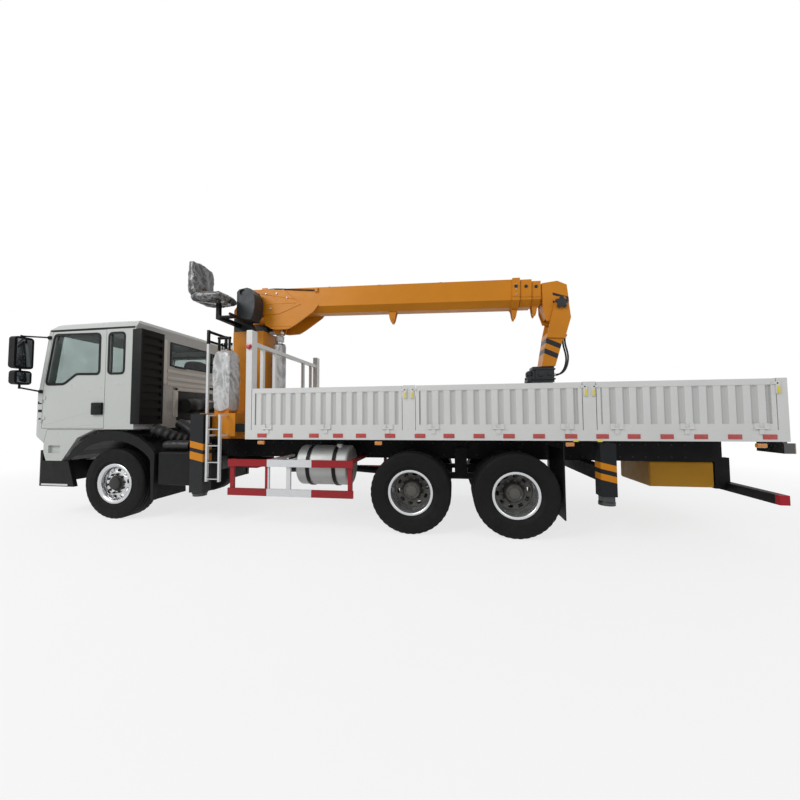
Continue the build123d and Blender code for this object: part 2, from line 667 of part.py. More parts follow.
gate_half = bed_half - post_depth - 8
with BuildPart() as tailgate:
    block((at(bed_rear - board_thick), at(bed_rear)), (-gate_half, gate_half),
          (bed_top + seat_gap, board_top))
    block((at(bed_rear - board_thick - 5), at(bed_rear + 5)), (-gate_half + rim_side, gate_half - rim_side),
          (bed_top + rim_low, board_top - rim_low), Mode.SUBTRACT)
    wave = [(at(bed_rear - y), x) for x, y in corrugation(-gate_half + rim_side, gate_half - rim_side)]
    extrude(outline_on(Plane.XY.offset(bed_top + rim_low - 2), wave),
            amount=board_top - bed_top - 2 * rim_low + 4)
    for y in hinge_spots(-bed_half + 80, bed_half - 80):
        for start in (y - 45 - seat_gap, y + 50 + seat_gap):
            rod((at(tail_axis), start, axis_z), (at(tail_axis), start + 45, axis_z), 10)
            block((at(bed_rear - 5), at(tail_axis)), (start, start + 45), (axis_z, axis_z + 60))
save(tailgate.part, "tailgate")

# Headboard: two posts, panel, top rail and upright bars
head_x = (at(bed_front), at(bed_front + 90))
bar_spots = (-895.0, -535.0, 535.0, 895.0)
with BuildPart() as headboard:
    for side in (-1, 1):
        block(head_x, flank(side, bed_half - 130, bed_half), (bed_top, headboard_top))
    fillet(headboard.edges().group_by(Axis.Z)[-1], 15)
    block((head_x[0] + 15, head_x[1] - 15), (-bed_half + 125, bed_half - 125), (2590, 2650))
    block((head_x[0] + 22, head_x[1] - 28), (-bed_half + 125, bed_half - 125), (bed_top, board_top))
    for z in (bed_top + 60, board_top - 60):
        block((head_x[0] + 8, head_x[1] - 12), (-bed_half + 125, bed_half - 125), (z - 30, z + 30))
    for y in bar_spots:
        block((head_x[0] + 20, head_x[1] - 20), (y - 27, y + 27), (board_top - 5, 2600))
save(headboard.part, "headboard")

# Crane base: cross box with two channels for the outrigger beams and the slewing seat
beam_front = base_front + 30.0
beam_back = base_rear - 30.0 - beam_width
beam_low = 1305.5
case_half = 105.0
bore_half_x = 80.0
case_y = (base_half + 2.0, base_half + 190.0)
beam_spots = (("beam_left", "jack_left", -1, beam_front), ("beam_right", "jack_right", 1, beam_back))
stand_x = (1500.0, 1740.0)
stand_y = (-920.0, -710.0)
stand_top = 2560.0
hoop_y = stand_y[0] + 40
with BuildPart() as crane_base:
    block((at(base_front), at(base_rear)), (-base_half, base_half), (base_low, base_high))
    for _, _, side, start in beam_spots:
        block((at(start - 5), at(start + beam_width + 5)), flank(side, -base_half + 60, base_half + 5),
              (beam_low - slide_gap, beam_low + beam_height + 5), Mode.SUBTRACT)
    block((at(beam_front + beam_width + 35), at(beam_back - 35)), (-base_half + 60, base_half - 60),
          (base_low + 40, base_high - 40), Mode.SUBTRACT)
    block((at(stand_x[0]), at(stand_x[1])), stand_y, (base_high - 5, stand_top))
    for station in (stand_x[0] + 30, stand_x[1] - 30):
        rod((at(station), hoop_y, stand_top - 5), (at(station), hoop_y, stand_top + 250), 16)
    rod((at(stand_x[0] + 14), hoop_y, stand_top + 240), (at(stand_x[1] - 14), hoop_y, stand_top + 240), 18)
    for side in (-1, 1):
        block((at(1250), at(2180)), flank(side, rail_y - rail_flange, rail_y), (rail_top, base_low + 5))
    rod((at(slew_station), 0, base_high - 5), (at(slew_station), 0, 1650), 420)
save(crane_base.part, "crane_base")

# Outrigger beams with jack casings, and the jacks
foot_radius = 95.0
jack_foot_z = 404.0
for beam_name, jack_name, side, start in beam_spots:
    middle = start + beam_width / 2
    case_mid = (case_y[0] + case_y[1]) / 2
    bore_y = (case_y[0] + 25, case_y[1] - 25)
    with BuildPart() as beam:
        block((at(start), at(start + beam_width)), flank(side, -base_half + 110, case_y[0] + 10),
              (beam_low, beam_low + beam_height))
        block((at(start + 12), at(start + beam_width - 12)), flank(side, -base_half + 100, case_y[0] - 30),
              (beam_low + 12, beam_low + beam_height - 12), Mode.SUBTRACT)
        block((at(middle - case_half), at(middle + case_half)), flank(side, *case_y), (460, 1600))
        block((at(middle - bore_half_x), at(middle + bore_half_x)), flank(side, *bore_y), (450, 1580),
              Mode.SUBTRACT)
    save(beam.part, beam_name)
    with BuildPart() as jack:
        block((at(middle - bore_half_x + slide_gap), at(middle + bore_half_x - slide_gap)),
              flank(side, bore_y[0] + slide_gap, bore_y[1] - slide_gap), (jack_foot_z + 30, 1500))
        rod((at(middle), side * case_mid, jack_foot_z), (at(middle), side * case_mid, jack_foot_z + 36),
            foot_radius)
    save(jack.part, jack_name)

rear_foot_z = 450.0
for side, name in ((-1, "rear_jack_left"), (1, "rear_jack_right")):
    half = rear_bore_half - slide_gap
    with BuildPart() as jack:
        block((at(jack_station) - half, at(jack_station) + half), flank(side, jack_y - half, jack_y + half),
              (rear_foot_z + 30, 1150))
        rod((at(jack_station), side * jack_y, rear_foot_z),
            (at(jack_station), side * jack_y, rear_foot_z + 36), 95)
    save(jack.part, name)

# Ladders: one up to the base on the left, one from the base towards the seat
ladder_y = base_half + 152.0
with BuildPart() as ladders:
    for start in (1602.0, 1802.0):
        block((at(start), at(start + 30)), (-ladder_y - 20, -ladder_y + 20), (620, 1590))
    for z in (660.0, 900.0, 1140.0, 1380.0):
        rod((at(1610), -ladder_y, z), (at(1825), -ladder_y, z), 14)
    for low, high in ((1270, 1298), (1566, 1590)):
        block((at(1602), at(1632)), (-ladder_y + 17, -base_half - seat_gap), (low, high))
        block((at(1802), at(1832)), (-ladder_y + 17, -base_half - seat_gap), (low, high))
    for y in (-950.0, -530.0):
        block((at(1366), at(1402)), (y, y + 30), (base_high + seat_gap, 2900))
    for z in (1800.0, 2000.0, 2200.0, 2380.0, 2570.0, 2750.0):
        rod((at(1384), -940, z), (at(1384), -510, z), 13)
    rod((at(1384), -935, 2900), (at(1384), -515, 2900), 18)
save(ladders.part, "ladders")

# Crane column on its slewing ring, with boom ears and the lift cylinder's foot
ear_y = (240.0, 280.0)
foot_y = (90.0, 130.0)
boom_pin = 50.0
lift_pin = 35.0
with BuildPart() as column:
    rod((at(slew_station), 0, 1650 + seat_gap), (at(slew_station), 0, 1762), 385)
    block((at(column_front), at(column_rear)), (-column_half, column_half), (1760, column_top))
    block((at(column_front + 25), at(column_rear - 25)), (-column_half + 55, column_half - 55),
          (1790, column_top + 5), Mode.SUBTRACT)
    for side in (-1, 1):
        plate([(column_front, column_top - 300), (column_rear, column_top - 300), (1700, 3200),
               (boom_station + 105, boom_z + 90), (boom_station - 60, boom_z + 120),
                (column_front, boom_z + 40)],
              flank(side, *ear_y))
        plate([(column_rear - 5, lift_low_z - 75), (lift_station + 45, lift_low_z - 75),
               (lift_station + 60, lift_low_z), (lift_station + 30, lift_low_z + 60),
               (column_rear - 5, lift_low_z + 75)], flank(side, *foot_y))
    cross_rod(boom_station, boom_z, (-ear_y[1], ear_y[1]), boom_pin)
    cross_rod(lift_station, lift_low_z, (-foot_y[1], foot_y[1]), lift_pin)
save(column.part, "column")

# Winch covers beside the boom root
hood_y = (300.0, 560.0)
hood_hole = (1700.0, 3650.0)
hoods = []
for side in (-1, 1):
    with BuildPart() as hood:
        plate([(1600, 3190), (1850, 3180), (1898, 3270), (1922, 3380), (1925, 3500), (1905, 3610),
               (1850, 3700), (1780, 3722), (1640, 3700), (1600, 3660)], flank(side, *hood_y))
        cross_rod(*hood_hole, flank(side, hood_y[1] - 30, hood_y[1] + 5), 52, Mode.SUBTRACT)
        cross_rod(1655, 3235, flank(side, ear_y[1] + seat_gap, hood_y[0] + 5), 22)
    hoods.append(hood.part)
save(Compound(children=hoods), "winch_hoods")

# Crane driver's seat on an arm from the column
seat_y = (-1020.0, -580.0)
with BuildPart() as crane_seat:
    plate([(1130, 3420), (1600, 3420), (1620, 3450), (1600, 3500), (1130, 3500)], seat_y)
    plate([(1085, 3560), (1140, 3430), (1200, 3460), (1165, 3600), (1150, 4020), (1085, 4020)], seat_y)
    fillet(crane_seat.edges().filter_by(Axis.X), 14)
    block((at(1420), at(1480)), (-830, -770), (3140, 3430))
    block((at(1420), at(1500)), (-830, -ear_y[1] - seat_gap), (3130, 3190))
    rod((at(1450), -800, 3160), (at(1760), -800, 3160), 28)
    rod((at(1760), -960, 3160), (at(1760), -600, 3160), 22)
save(crane_seat.part, "crane_seat")

# Telescopic boom: nested six-sided tubes set along the boom line
boom_top = 426.0
boom_low = 4.0
boom_side = 96.0
boom_floor = 90.0
along = Vector(cos(boom_pitch), 0, -sin(boom_pitch))
across = Vector(sin(boom_pitch), 0, cos(boom_pitch))
root = Vector(at(boom_station), 0, boom_z)


def boom_point(u, v):
    return root + along * u + across * v


def in_boom(station, z):
    way = Vector(station - boom_station, 0, z - boom_z)
    return way.dot(along), way.dot(across)


def boom_tube(start, end, inset, mode=Mode.ADD):
    outline = [(-boom_half, boom_top), (boom_half, boom_top), (boom_half, boom_side), (boom_floor, boom_low),
               (-boom_floor, boom_low), (-boom_half, boom_side)]
    plane = Plane(origin=boom_point(start, 0), x_dir=(0, 1, 0), z_dir=along)
    points = [(y, v) for y, v in outline]
    extrude(outline_on(plane, points, -inset), amount=end - start, mode=mode)


def boom_plate(points, y, mode=Mode.ADD):
    plane = Plane(origin=root + Vector(0, y[1], 0), x_dir=along, z_dir=(0, -1, 0))
    extrude(outline_on(plane, points), amount=y[1] - y[0], mode=mode)


pad_gap = 0.4
root_y = (200.0, 230.0)
clevis_y = (68.0, 93.0)
base_end = 4750.0
lift_u, lift_v = in_boom(lift_station, lift_high_z)
with BuildPart() as boom_base:
    boom_tube(150, base_end, 0)
    boom_tube(160, base_end + 1, boom_wall, Mode.SUBTRACT)
    boom_tube(base_end - 115, base_end, -18)
    boom_tube(base_end - 60, base_end, section_step - pad_gap)
    boom_tube(base_end - 120, base_end - 60, boom_wall, Mode.SUBTRACT)
    boom_tube(base_end - 61, base_end + 1, section_step - pad_gap, Mode.SUBTRACT)
    for side in (-1, 1):
        boom_plate([(-110, -90), (-110, 90), (120, 400), (780, 400), (1100, 130), (700, -30), (380, -40),
                   (120, -100)],
                   flank(side, root_y[0] - 5, root_y[1]))
        boom_plate([(400, -30), (450, -225), (560, -285), (686, -305), (890, -290), (1010, -225),
                    (1160, -120), (1330, 0), (1420, 110), (1380, 140), (900, 140), (500, 60)],
                   flank(side, root_y[0] - 5, root_y[1] - 8))
        boom_plate([(lift_u - 170, boom_low + 5), (lift_u + 170, boom_low + 5), (lift_u + 75, lift_v - 20),
                    (lift_u + 40, lift_v - 65), (lift_u - 40, lift_v - 65), (lift_u - 75, lift_v - 20)],
                   flank(side, *clevis_y))
        cross_rod(lift_station, lift_high_z, flank(side, clevis_y[1] - 5, clevis_y[1] + 22), lift_pin + 12)
    rod(boom_point(0, 0) + Vector(0, -300, 0), boom_point(0, 0) + Vector(0, 300, 0), boom_pin + pin_gap,
        Mode.SUBTRACT)
    for u in (1550, 2450, 3500):
        boom_plate([(u - 30, boom_top - 5), (u + 30, boom_top - 5), (u + 20, boom_top + 60),
                   (u - 20, boom_top + 60)],
                   (-60, 60))
save(boom_base.part, "boom_base")

# Inner sections: name, tail, front, collar start, depth of its skin inside the base skin
section_table = (("boom_2", 350.0, 4930.0, 4760.0, 1), ("boom_3", 500.0, 5070.0, 4940.0, 2))
for name, tail, front, collar, rank in section_table:
    skin_in = rank * section_step
    next_in = skin_in + section_step - pad_gap
    with BuildPart() as section:
        boom_tube(tail, front, skin_in)
        boom_tube(collar, front, skin_in - 16)
        boom_tube(tail, tail + 60, skin_in - section_step + boom_wall + pad_gap)
        boom_tube(tail - 1, front - 60, skin_in + boom_wall, Mode.SUBTRACT)
        boom_tube(front - 61, front + 1, next_in, Mode.SUBTRACT)
    save(section.part, name)

head_y = (125.0, 155.0)
head_start = 5090.0
jib_u, jib_v = in_boom(jib_station, jib_z)
with BuildPart() as boom_4:
    skin_in = 3 * section_step
    boom_tube(650, 5120, skin_in)
    boom_tube(650, 710, skin_in - section_step + boom_wall + pad_gap)
    boom_tube(649, 5105, skin_in + boom_wall, Mode.SUBTRACT)
    for side in (-1, 1):
        boom_plate([(head_start, 365), (5320, 395), (5460, 330), (5495, 60), (5440, -150), (5330, -240),
                   (5170, -235),
                    (head_start + 20, -60)], flank(side, *head_y))
    boom_plate([(5115, 300), (5175, 320), (5175, -180), (5115, -20)], (-head_y[1], head_y[1]))
    for u, v, radius in ((5330, 270, 95), (5290, -130, 80)):
        point = boom_point(u, v)
        rod(point + Vector(0, -head_y[1], 0), point + Vector(0, head_y[1], 0), 30)
        rod(point + Vector(0, -35, 0), point + Vector(0, 35, 0), radius)
    cross_rod(jib_station, jib_z, (-300, 300), 40 + pin_gap, Mode.SUBTRACT)
save(boom_4.part, "boom_4")

# Lift cylinder between the column's foot and the boom's clevis
barrel_radius = 100.0
rod_radius = 60.0
barrel_top = 2860.0
with BuildPart() as luff_barrel:
    rod((at(lift_station), 0, lift_low_z + 80), (at(lift_station), 0, barrel_top), barrel_radius)
    cross_rod(lift_station, lift_low_z, (-foot_y[0] + 2, foot_y[0] - 2), 65)
    block((at(lift_station) - 60, at(lift_station) + 60), (-foot_y[0] + 2, foot_y[0] - 2),
          (lift_low_z, lift_low_z + 90))
    rod((at(lift_station), 0, lift_low_z + 110), (at(lift_station), 0, barrel_top + 1),
        rod_radius + slide_gap,
        Mode.SUBTRACT)
    cross_rod(lift_station, lift_low_z, (-200, 200), lift_pin + pin_gap, Mode.SUBTRACT)
save(luff_barrel.part, "luff_barrel")

with BuildPart() as luff_rod:
    rod((at(lift_station), 0, lift_low_z + 120), (at(lift_station), 0, lift_high_z - 105), rod_radius)
    block((at(lift_station) - 45, at(lift_station) + 45), (-45, 45), (lift_high_z - 110, lift_high_z))
    cross_rod(lift_station, lift_high_z, (-clevis_y[0] + 10, clevis_y[0] - 10), 62)
    cross_rod(lift_station, lift_high_z, (-clevis_y[0] + 0.5, clevis_y[0] - 0.5), lift_pin)
save(luff_rod.part, "luff_rod")

# Jib link below the boom head, with the tool drive on its end
cheek_y = (160.0, 190.0)
drive_top = 2315.0
drive_face = 6740.0
saddle_low = 2790.0
with BuildPart() as jib:
    for side in (-1, 1):
        plate([(6765, 3340), (6810, 3395), (6900, 3390), (6955, 3330), (6985, 3060), (6890, 2740),
              (6625, 2760),
               (6690, 3050)], flank(side, *cheek_y))
        cross_rod(jib_station, jib_z, flank(side, cheek_y[1] - 5, cheek_y[1] + 28), 75)
    plate([(6639, 2835), (6886, 2795), (6745, drive_top), (6548, drive_top)],
          (-cheek_y[0] - 5, cheek_y[0] + 5))
    block((at(6850), at(6950)), (-90, 90), (saddle_low, saddle_low + 30))
    cross_rod(jib_station, jib_z, (-cheek_y[1], cheek_y[1]), 40)
save(jib.part, "jib")

with BuildPart() as rotator:
    block((at(6415), at(drive_face)), (-135, 135), (2070, drive_top))
    fillet(rotator.edges().filter_by(Axis.Z), 25)
    block((at(6450), at(6720)), (-150, 150), (2130, 2260))
    rod((at(tool_station), 0, 2060), (at(tool_station), 0, 2120), 60 + pin_gap, Mode.SUBTRACT)
save(rotator.part, "rotator")

flange_low = 2000.0
with BuildPart() as rotor:
    rod((at(tool_station), 0, flange_low), (at(tool_station), 0, 2045), 130)
    rod((at(tool_station), 0, 2040), (at(tool_station), 0, 2119), 60)
    with Locations((at(tool_station), 0, flange_low)):
        with PolarLocations(80, 6):
            Cylinder(8.5, 120, mode=Mode.SUBTRACT)
save(rotor.part, "rotor")

# Two hoses hang from the jib's saddle to the tool drive, in straight runs with a rounding at each turn
hose_radius = 14.0
hose_route = [(6925, saddle_low - seat_gap), (6925, 2690), (6950, 2590), (6970, 2490), (6965, 2390),
               (6935, 2290),
              (6885, 2222), (6810, 2190), (drive_face + seat_gap, 2190)]


def turn_radius(before, corner, after):
    first = Vector(corner[0] - before[0], corner[1] - before[1])
    second = Vector(after[0] - corner[0], after[1] - corner[1])
    turn = radians(first.get_angle(second))
    return 0.45 * min(first.length, second.length) / tan(turn / 2)


hose_turns = [turn_radius(*three) for three in zip(hose_route, hose_route[1:], hose_route[2:])]
with BuildPart() as tool_hoses:
    for y in (-50.0, 50.0):
        with BuildLine(Plane(origin=(axle_x, y, 0), x_dir=(1, 0, 0), z_dir=(0, -1, 0))) as way:
            FilletPolyline(*hose_route, radius=hose_turns)
        with BuildSketch(Plane(origin=way.line @ 0, z_dir=way.line % 0)) as mouth:
            Circle(hose_radius)
        sweep(mouth.sketch, path=way.line)
save(tool_hoses.part, "tool_hoses")
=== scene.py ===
import bpy
import bmesh
import math
from mathutils import Matrix, Vector, noise


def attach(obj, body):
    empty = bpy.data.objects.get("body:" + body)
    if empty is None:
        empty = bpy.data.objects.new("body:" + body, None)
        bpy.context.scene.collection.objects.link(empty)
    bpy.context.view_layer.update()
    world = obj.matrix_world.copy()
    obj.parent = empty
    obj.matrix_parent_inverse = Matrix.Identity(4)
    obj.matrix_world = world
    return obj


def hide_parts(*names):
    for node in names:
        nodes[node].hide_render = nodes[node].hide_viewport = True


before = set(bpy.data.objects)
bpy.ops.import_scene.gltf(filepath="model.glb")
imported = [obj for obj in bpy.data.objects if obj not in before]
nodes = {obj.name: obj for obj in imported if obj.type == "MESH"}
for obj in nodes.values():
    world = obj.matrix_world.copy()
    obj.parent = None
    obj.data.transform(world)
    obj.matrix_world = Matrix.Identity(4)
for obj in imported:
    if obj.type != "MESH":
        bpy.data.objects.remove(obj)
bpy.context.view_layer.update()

scene = bpy.context.scene
axleX = -3.695  # the front axle in the shared frame
sides = ((-1, "Left", "left"), (1, "Right", "right"))
print("stage: frame loaded,", len(nodes), "nodes")


def at(station):
    return axleX + station


# small mesh helpers
creaseAngle = math.radians(38)
bevelSet = {"segments": 2, "profile": 0.6, "affect": "EDGES"}


def addPiece(name, data, mat, body):
    piece = bpy.data.objects.new(name, data)
    scene.collection.objects.link(piece)
    data.materials.append(mats[mat])
    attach(piece, body)
    return piece


def meshFrom(name, bm):
    bmesh.ops.recalc_face_normals(bm, faces=bm.faces)
    mesh = bpy.data.meshes.new(name)
    bm.to_mesh(mesh)
    bm.free()
    mesh.shade_smooth()
    mesh.set_sharp_from_angle(angle=creaseAngle)
    return mesh


def dress(name, bm, mat, body):
    piece = addPiece(name, meshFrom(name, bm), mat, body)
    return piece


def addBox(bm, low, high, bevel):
    verts = bmesh.ops.create_cube(bm, size=1.0)["verts"]
    mid = [(a + b) / 2 for a, b in zip(low, high)]
    size = [b - a for a, b in zip(low, high)]
    place = Matrix.Translation(mid) @ Matrix.Diagonal((*size, 1.0))
    bmesh.ops.transform(bm, matrix=place, verts=verts)
    edges = {e for v in verts for e in v.link_edges}
    bmesh.ops.bevel(bm, geom=list(edges), offset=min(bevel, 0.45 * min(size)), **bevelSet)


def sideBox(bm, side, spanX, spanY, spanZ, bevel):
    # spans of stations, of distances out from the middle and of heights
    low, high = sorted(side * y for y in spanY)
    addBox(bm, (at(spanX[0]), low, spanZ[0]), (at(spanX[1]), high, spanZ[1]), bevel)


def addDrum(bm, start, end, radius, segments, bevel):
    start, end = Vector(start), Vector(end)
    way = end - start
    verts = bmesh.ops.create_cone(bm, cap_ends=True, segments=segments, radius1=radius,
                                  radius2=radius, depth=way.length)["verts"]
    turn = way.to_track_quat("Z", "Y").to_matrix().to_4x4()
    bmesh.ops.transform(bm, matrix=Matrix.Translation((start + end) / 2) @ turn, verts=verts)
    rims = [e for e in {e for v in verts for e in v.link_edges}
            if any(len(f.verts) > 4 for f in e.link_faces)]
    bmesh.ops.bevel(bm, geom=rims, offset=bevel, **bevelSet)


def addNut(bm, point, axis, radius, height):
    axis = Vector(axis)
    end = Vector(point) + axis * height
    addDrum(bm, point, end, radius, 6, 0.0015)
    addDrum(bm, end, end + axis * height * 0.7, radius * 0.55, 10, 0.001)


def outward(side, reach):
    return Vector((0, side * reach, 0))


def circle(count, start=0.0):
    # cosine and sine of evenly spaced angles
    angles = [2 * math.pi * step / count + start for step in range(count)]
    return [(math.cos(angle), math.sin(angle)) for angle in angles]


def bridge(bm, one, two):
    # faces between two closed rings
    for corners in zip(one, one[1:] + one[:1], two[1:] + two[:1], two):
        bm.faces.new(corners)


def turnedMesh(bm, centre, outline, segments, axis="Y", waver=None):
    # outline of (radius, along) points turned about an axis through centre
    rings = []
    for step in range(segments):
        angle = 2 * math.pi * step / segments
        ring = []
        for index, (radius, along) in enumerate(outline):
            r = radius + (waver(step, index, angle) if waver else 0.0)
            a, b = r * math.cos(angle), r * math.sin(angle)
            local = (a, along, b) if axis == "Y" else (a, b, along)
            ring.append(bm.verts.new(Vector(centre) + Vector(local)))
        rings.append(ring)
    for one, two in zip(rings, rings[1:] + rings[:1]):
        for index in range(len(outline) - 1):
            bm.faces.new((one[index], one[index + 1], two[index + 1], two[index]))
    return rings


def tubeCurve(name, points, radius, mat, body, cyclic=False, smoothLine=False):
    curve = bpy.data.curves.new(name, "CURVE")
    curve.dimensions = "3D"
    curve.bevel_depth = radius
    curve.bevel_resolution = 3
    curve.use_fill_caps = True
    line = curve.splines.new("NURBS" if smoothLine else "POLY")
    line.points.add(len(points) - 1)
    for spot, point in zip(line.points, points):
        spot.co = (*point, 1.0)
    line.use_cyclic_u = cyclic
    if smoothLine:
        line.order_u = 3
        line.use_endpoint_u = True
    piece = addPiece(name, curve, mat, body)
    return piece


def sideLine(outline, y):
    return [(at(x), y, z) for x, z in outline]


def roundLine(outline, reach, steps=4):
    # softened corners of a closed outline of (x, z) points
    soft = []
    for index, corner in enumerate(outline):
        here = Vector(corner)
        before, after = Vector(outline[index - 1]), Vector(outline[(index + 1) % len(outline)])
        start = here + (before - here).normalized() * min(reach, 0.45 * (before - here).length)
        end = here + (after - here).normalized() * min(reach, 0.45 * (after - here).length)
        for step in range(steps + 1):
            t = step / steps
            soft.append(start * (1 - t) ** 2 + here * 2 * t * (1 - t) + end * t * t)
    return soft


def addSlab(bm, outline, shift):
    # plate from a closed outline of points, made thick by a shift
    low = [bm.verts.new(Vector(p)) for p in outline]
    high = [bm.verts.new(Vector(p) + Vector(shift)) for p in outline]
    bm.faces.new(low)
    bm.faces.new(list(reversed(high)))
    bridge(bm, high, low)


hoseLook = {"segments": 30, "perRib": 6}


def ribbedTube(bm, points, radius, rib, pitch):
    # hose of swelling rings along a softened line of (station, y, z) points
    line = [Vector((at(x), y, z)) for x, y, z in points]
    for turn in range(3):
        finer = [line[0]]
        for a, b in zip(line, line[1:]):
            finer += [a.lerp(b, 0.25), a.lerp(b, 0.75)]
        line = finer + [line[-1]]
    reach = [0.0]
    for a, b in zip(line, line[1:]):
        reach.append(reach[-1] + (b - a).length)
    per = hoseLook["perRib"]
    count = max(4, int(reach[-1] / pitch) * per)
    rings = []
    for step in range(count + 1):
        want = reach[-1] * step / count
        index = max(i for i in range(len(reach) - 1) if reach[i] <= want + 1e-9)
        a, b = line[index], line[index + 1]
        spot = a.lerp(b, (want - reach[index]) / max(1e-9, reach[index + 1] - reach[index]))
        way = (b - a).normalized()
        across = way.cross(Vector((0, 0, 1)) if abs(way.z) < 0.9 else Vector((1, 0, 0))).normalized()
        lift = across.cross(way).normalized()
        r = radius + rib * 0.5 * (1 - math.cos(2 * math.pi * (step % per) / per))
        rings.append([bm.verts.new(spot + across * r * c + lift * r * s)
                      for c, s in circle(hoseLook["segments"])])
    for one, two in zip(rings, rings[1:]):
        bridge(bm, one, two)
    bm.faces.new(rings[0])
    bm.faces.new(list(reversed(rings[-1])))


# material helpers
def newMat(name):
    # the helpers below add their nodes to tree, the one in work
    global tree
    mat = bpy.data.materials.new(name)
    mat.use_nodes = True
    tree = mat.node_tree
    return mat, tree.nodes["Principled BSDF"]


def newNode(kind):
    return tree.nodes.new("ShaderNode" + kind)


def link(source, target):
    tree.links.new(source, target)


def setInputs(node, values):
    for name, value in values.items():
        node.inputs[name].default_value = value


def noiseNode(scale, detail, stretch=(1, 1, 1), distortion=0.0):
    mapped = newNode("Mapping")
    tex = newNode("TexNoise")
    setInputs(mapped, {"Scale": stretch})
    setInputs(tex, {"Scale": scale, "Detail": detail, "Distortion": distortion})
    link(newNode("TexCoord").outputs["Object"], mapped.inputs["Vector"])
    link(mapped.outputs["Vector"], tex.inputs["Vector"])
    return tex.outputs["Fac"]


def rampNode(source, stops):
    ramp = newNode("ValToRGB")
    items = ramp.color_ramp.elements
    items[0].position, items[0].color = stops[0][0], (*stops[0][1], 1)
    items[1].position, items[1].color = stops[-1][0], (*stops[-1][1], 1)
    for position, colour in stops[1:-1]:
        item = items.new(position)
        item.color = (*colour, 1)
    link(source, ramp.inputs["Fac"])
    return ramp.outputs["Color"]


def mathNode(kind, *values):
    step = newNode("Math")
    step.operation = kind
    for socket, value in zip(step.inputs, values):
        if isinstance(value, (int, float)):
            socket.default_value = value
        else:
            link(value, socket)
    return step.outputs[0]


def times(first, *others):
    for other in others:
        first = mathNode("MULTIPLY", first, other)
    return first


def over(value, low):
    return mathNode("GREATER_THAN", value, low)


def between(value, low, high):
    return times(over(value, low), mathNode("LESS_THAN", value, high))


def mixColour(factor, first, second):
    mix = newNode("Mix")
    mix.data_type = "RGBA"
    link(factor, mix.inputs["Factor"])
    for socket, value in ((mix.inputs[6], first), (mix.inputs[7], second)):
        if isinstance(value, tuple):
            socket.default_value = (*value, 1)
        else:
            link(value, socket)
    return mix.outputs[2]


def grey(value):
    return (value, value, value)


def shade(colour, factor):
    return tuple(min(1.0, c * factor) for c in colour)


def positionParts():
    # x, the distance out from the middle, and the height
    split = newNode("SeparateXYZ")
    link(newNode("TexCoord").outputs["Object"], split.inputs[0])
    x, y, z = split.outputs
    return x, mathNode("ABSOLUTE", y), z


def addBump(shader, height, strength, distance):
    bump = newNode("Bump")
    setInputs(bump, {"Strength": strength, "Distance": distance})
    link(height, bump.inputs["Height"])
    link(bump.outputs["Normal"], shader.inputs["Normal"])


blackInk = (0.02, 0.02, 0.02)
coatSet = {"mottle": 2.2, "patch": 7.0, "gloss": 9.0, "dustTone": (0.30, 0.27, 0.23), "dustMost": 0.8}


def zoneMask(zone):
    # 1 inside the spans and on bands that fall towards the tail
    x, out, z = positionParts()
    station = mathNode("SUBTRACT", x, axleX)
    masks = [between(value, *zone[key]) for key, value in (("x", station), ("out", out), ("z", z)) if key in zone]
    if "bands" in zone:
        (first, second), slope, origin = zone["bands"]
        run = mathNode("ADD", z, times(mathNode("SUBTRACT", station, origin), slope))
        masks.append(mathNode("ADD", between(run, *first), between(run, *second)))
    return times(*masks)


def finish(name, look):
    # one coat: a mottled colour, road dust low down, uneven gloss and a fine grain
    mat, shader = newMat(name)
    tone, vary, rough = look["tone"], look["vary"], look["rough"]
    broad = noiseNode(coatSet["mottle"], 5.0)
    colour = rampNode(broad, [(0.3, shade(tone, 1 - vary)), (0.7, shade(tone, 1 + vary))])
    for zone in look.get("zones", ()):
        colour = mixColour(zoneMask(zone), colour, zone["tone"])
    if "dust" in look:
        height = mathNode("DIVIDE", positionParts()[2], look.get("dustTop", 1.3))
        low = mathNode("MAXIMUM", mathNode("SUBTRACT", 1.0, height), 0.0)
        patch = noiseNode(coatSet["patch"], 6.0)
        amount = mathNode("MINIMUM", times(low, patch, look["dust"] * 2), coatSet["dustMost"])
        colour = mixColour(amount, colour, coatSet["dustTone"])
    link(colour, shader.inputs["Base Color"])
    gloss = noiseNode(coatSet["gloss"], 5.0)
    spread = look.get("roughSpread", 0.08)
    ends = [(0.3, grey(max(0.02, rough - spread))), (0.7, grey(min(1, rough + spread)))]
    link(rampNode(gloss, ends), shader.inputs["Roughness"])
    grain = noiseNode(look.get("grainScale", 180.0), 3.0, look.get("grainStretch", (1, 1, 1)))
    addBump(shader, grain, look["grain"], look.get("grainDepth", 0.002))
    setInputs(shader, {"Metallic": look.get("metal", 0.0), "Specular IOR Level": look.get("specular", 0.5),
                       "Coat Weight": look.get("coat", 0.0), "Coat Roughness": 0.12})
    return mat


def filmMat(name, stops, scale, coat):
    # packing film: pale bands along the creases over what it covers; on the dark seat film the bright bands are
    # painted glints
    mat, shader = newMat(name)
    fold = noiseNode(scale, 6.0, (1, 1, 0.6), 1.6)
    ramp = rampNode(fold, [(place, grey(value)) for place, value in stops])
    link(ramp, shader.inputs["Base Color"])
    gloss = noiseNode(scale * 3, 4.0)
    rough = rampNode(gloss, [(0.3, grey(0.12)), (0.7, grey(0.34))])
    link(rough, shader.inputs["Roughness"])
    addBump(shader, fold, 0.6, 0.012)
    setInputs(shader, {"Coat Weight": coat})
    return mat


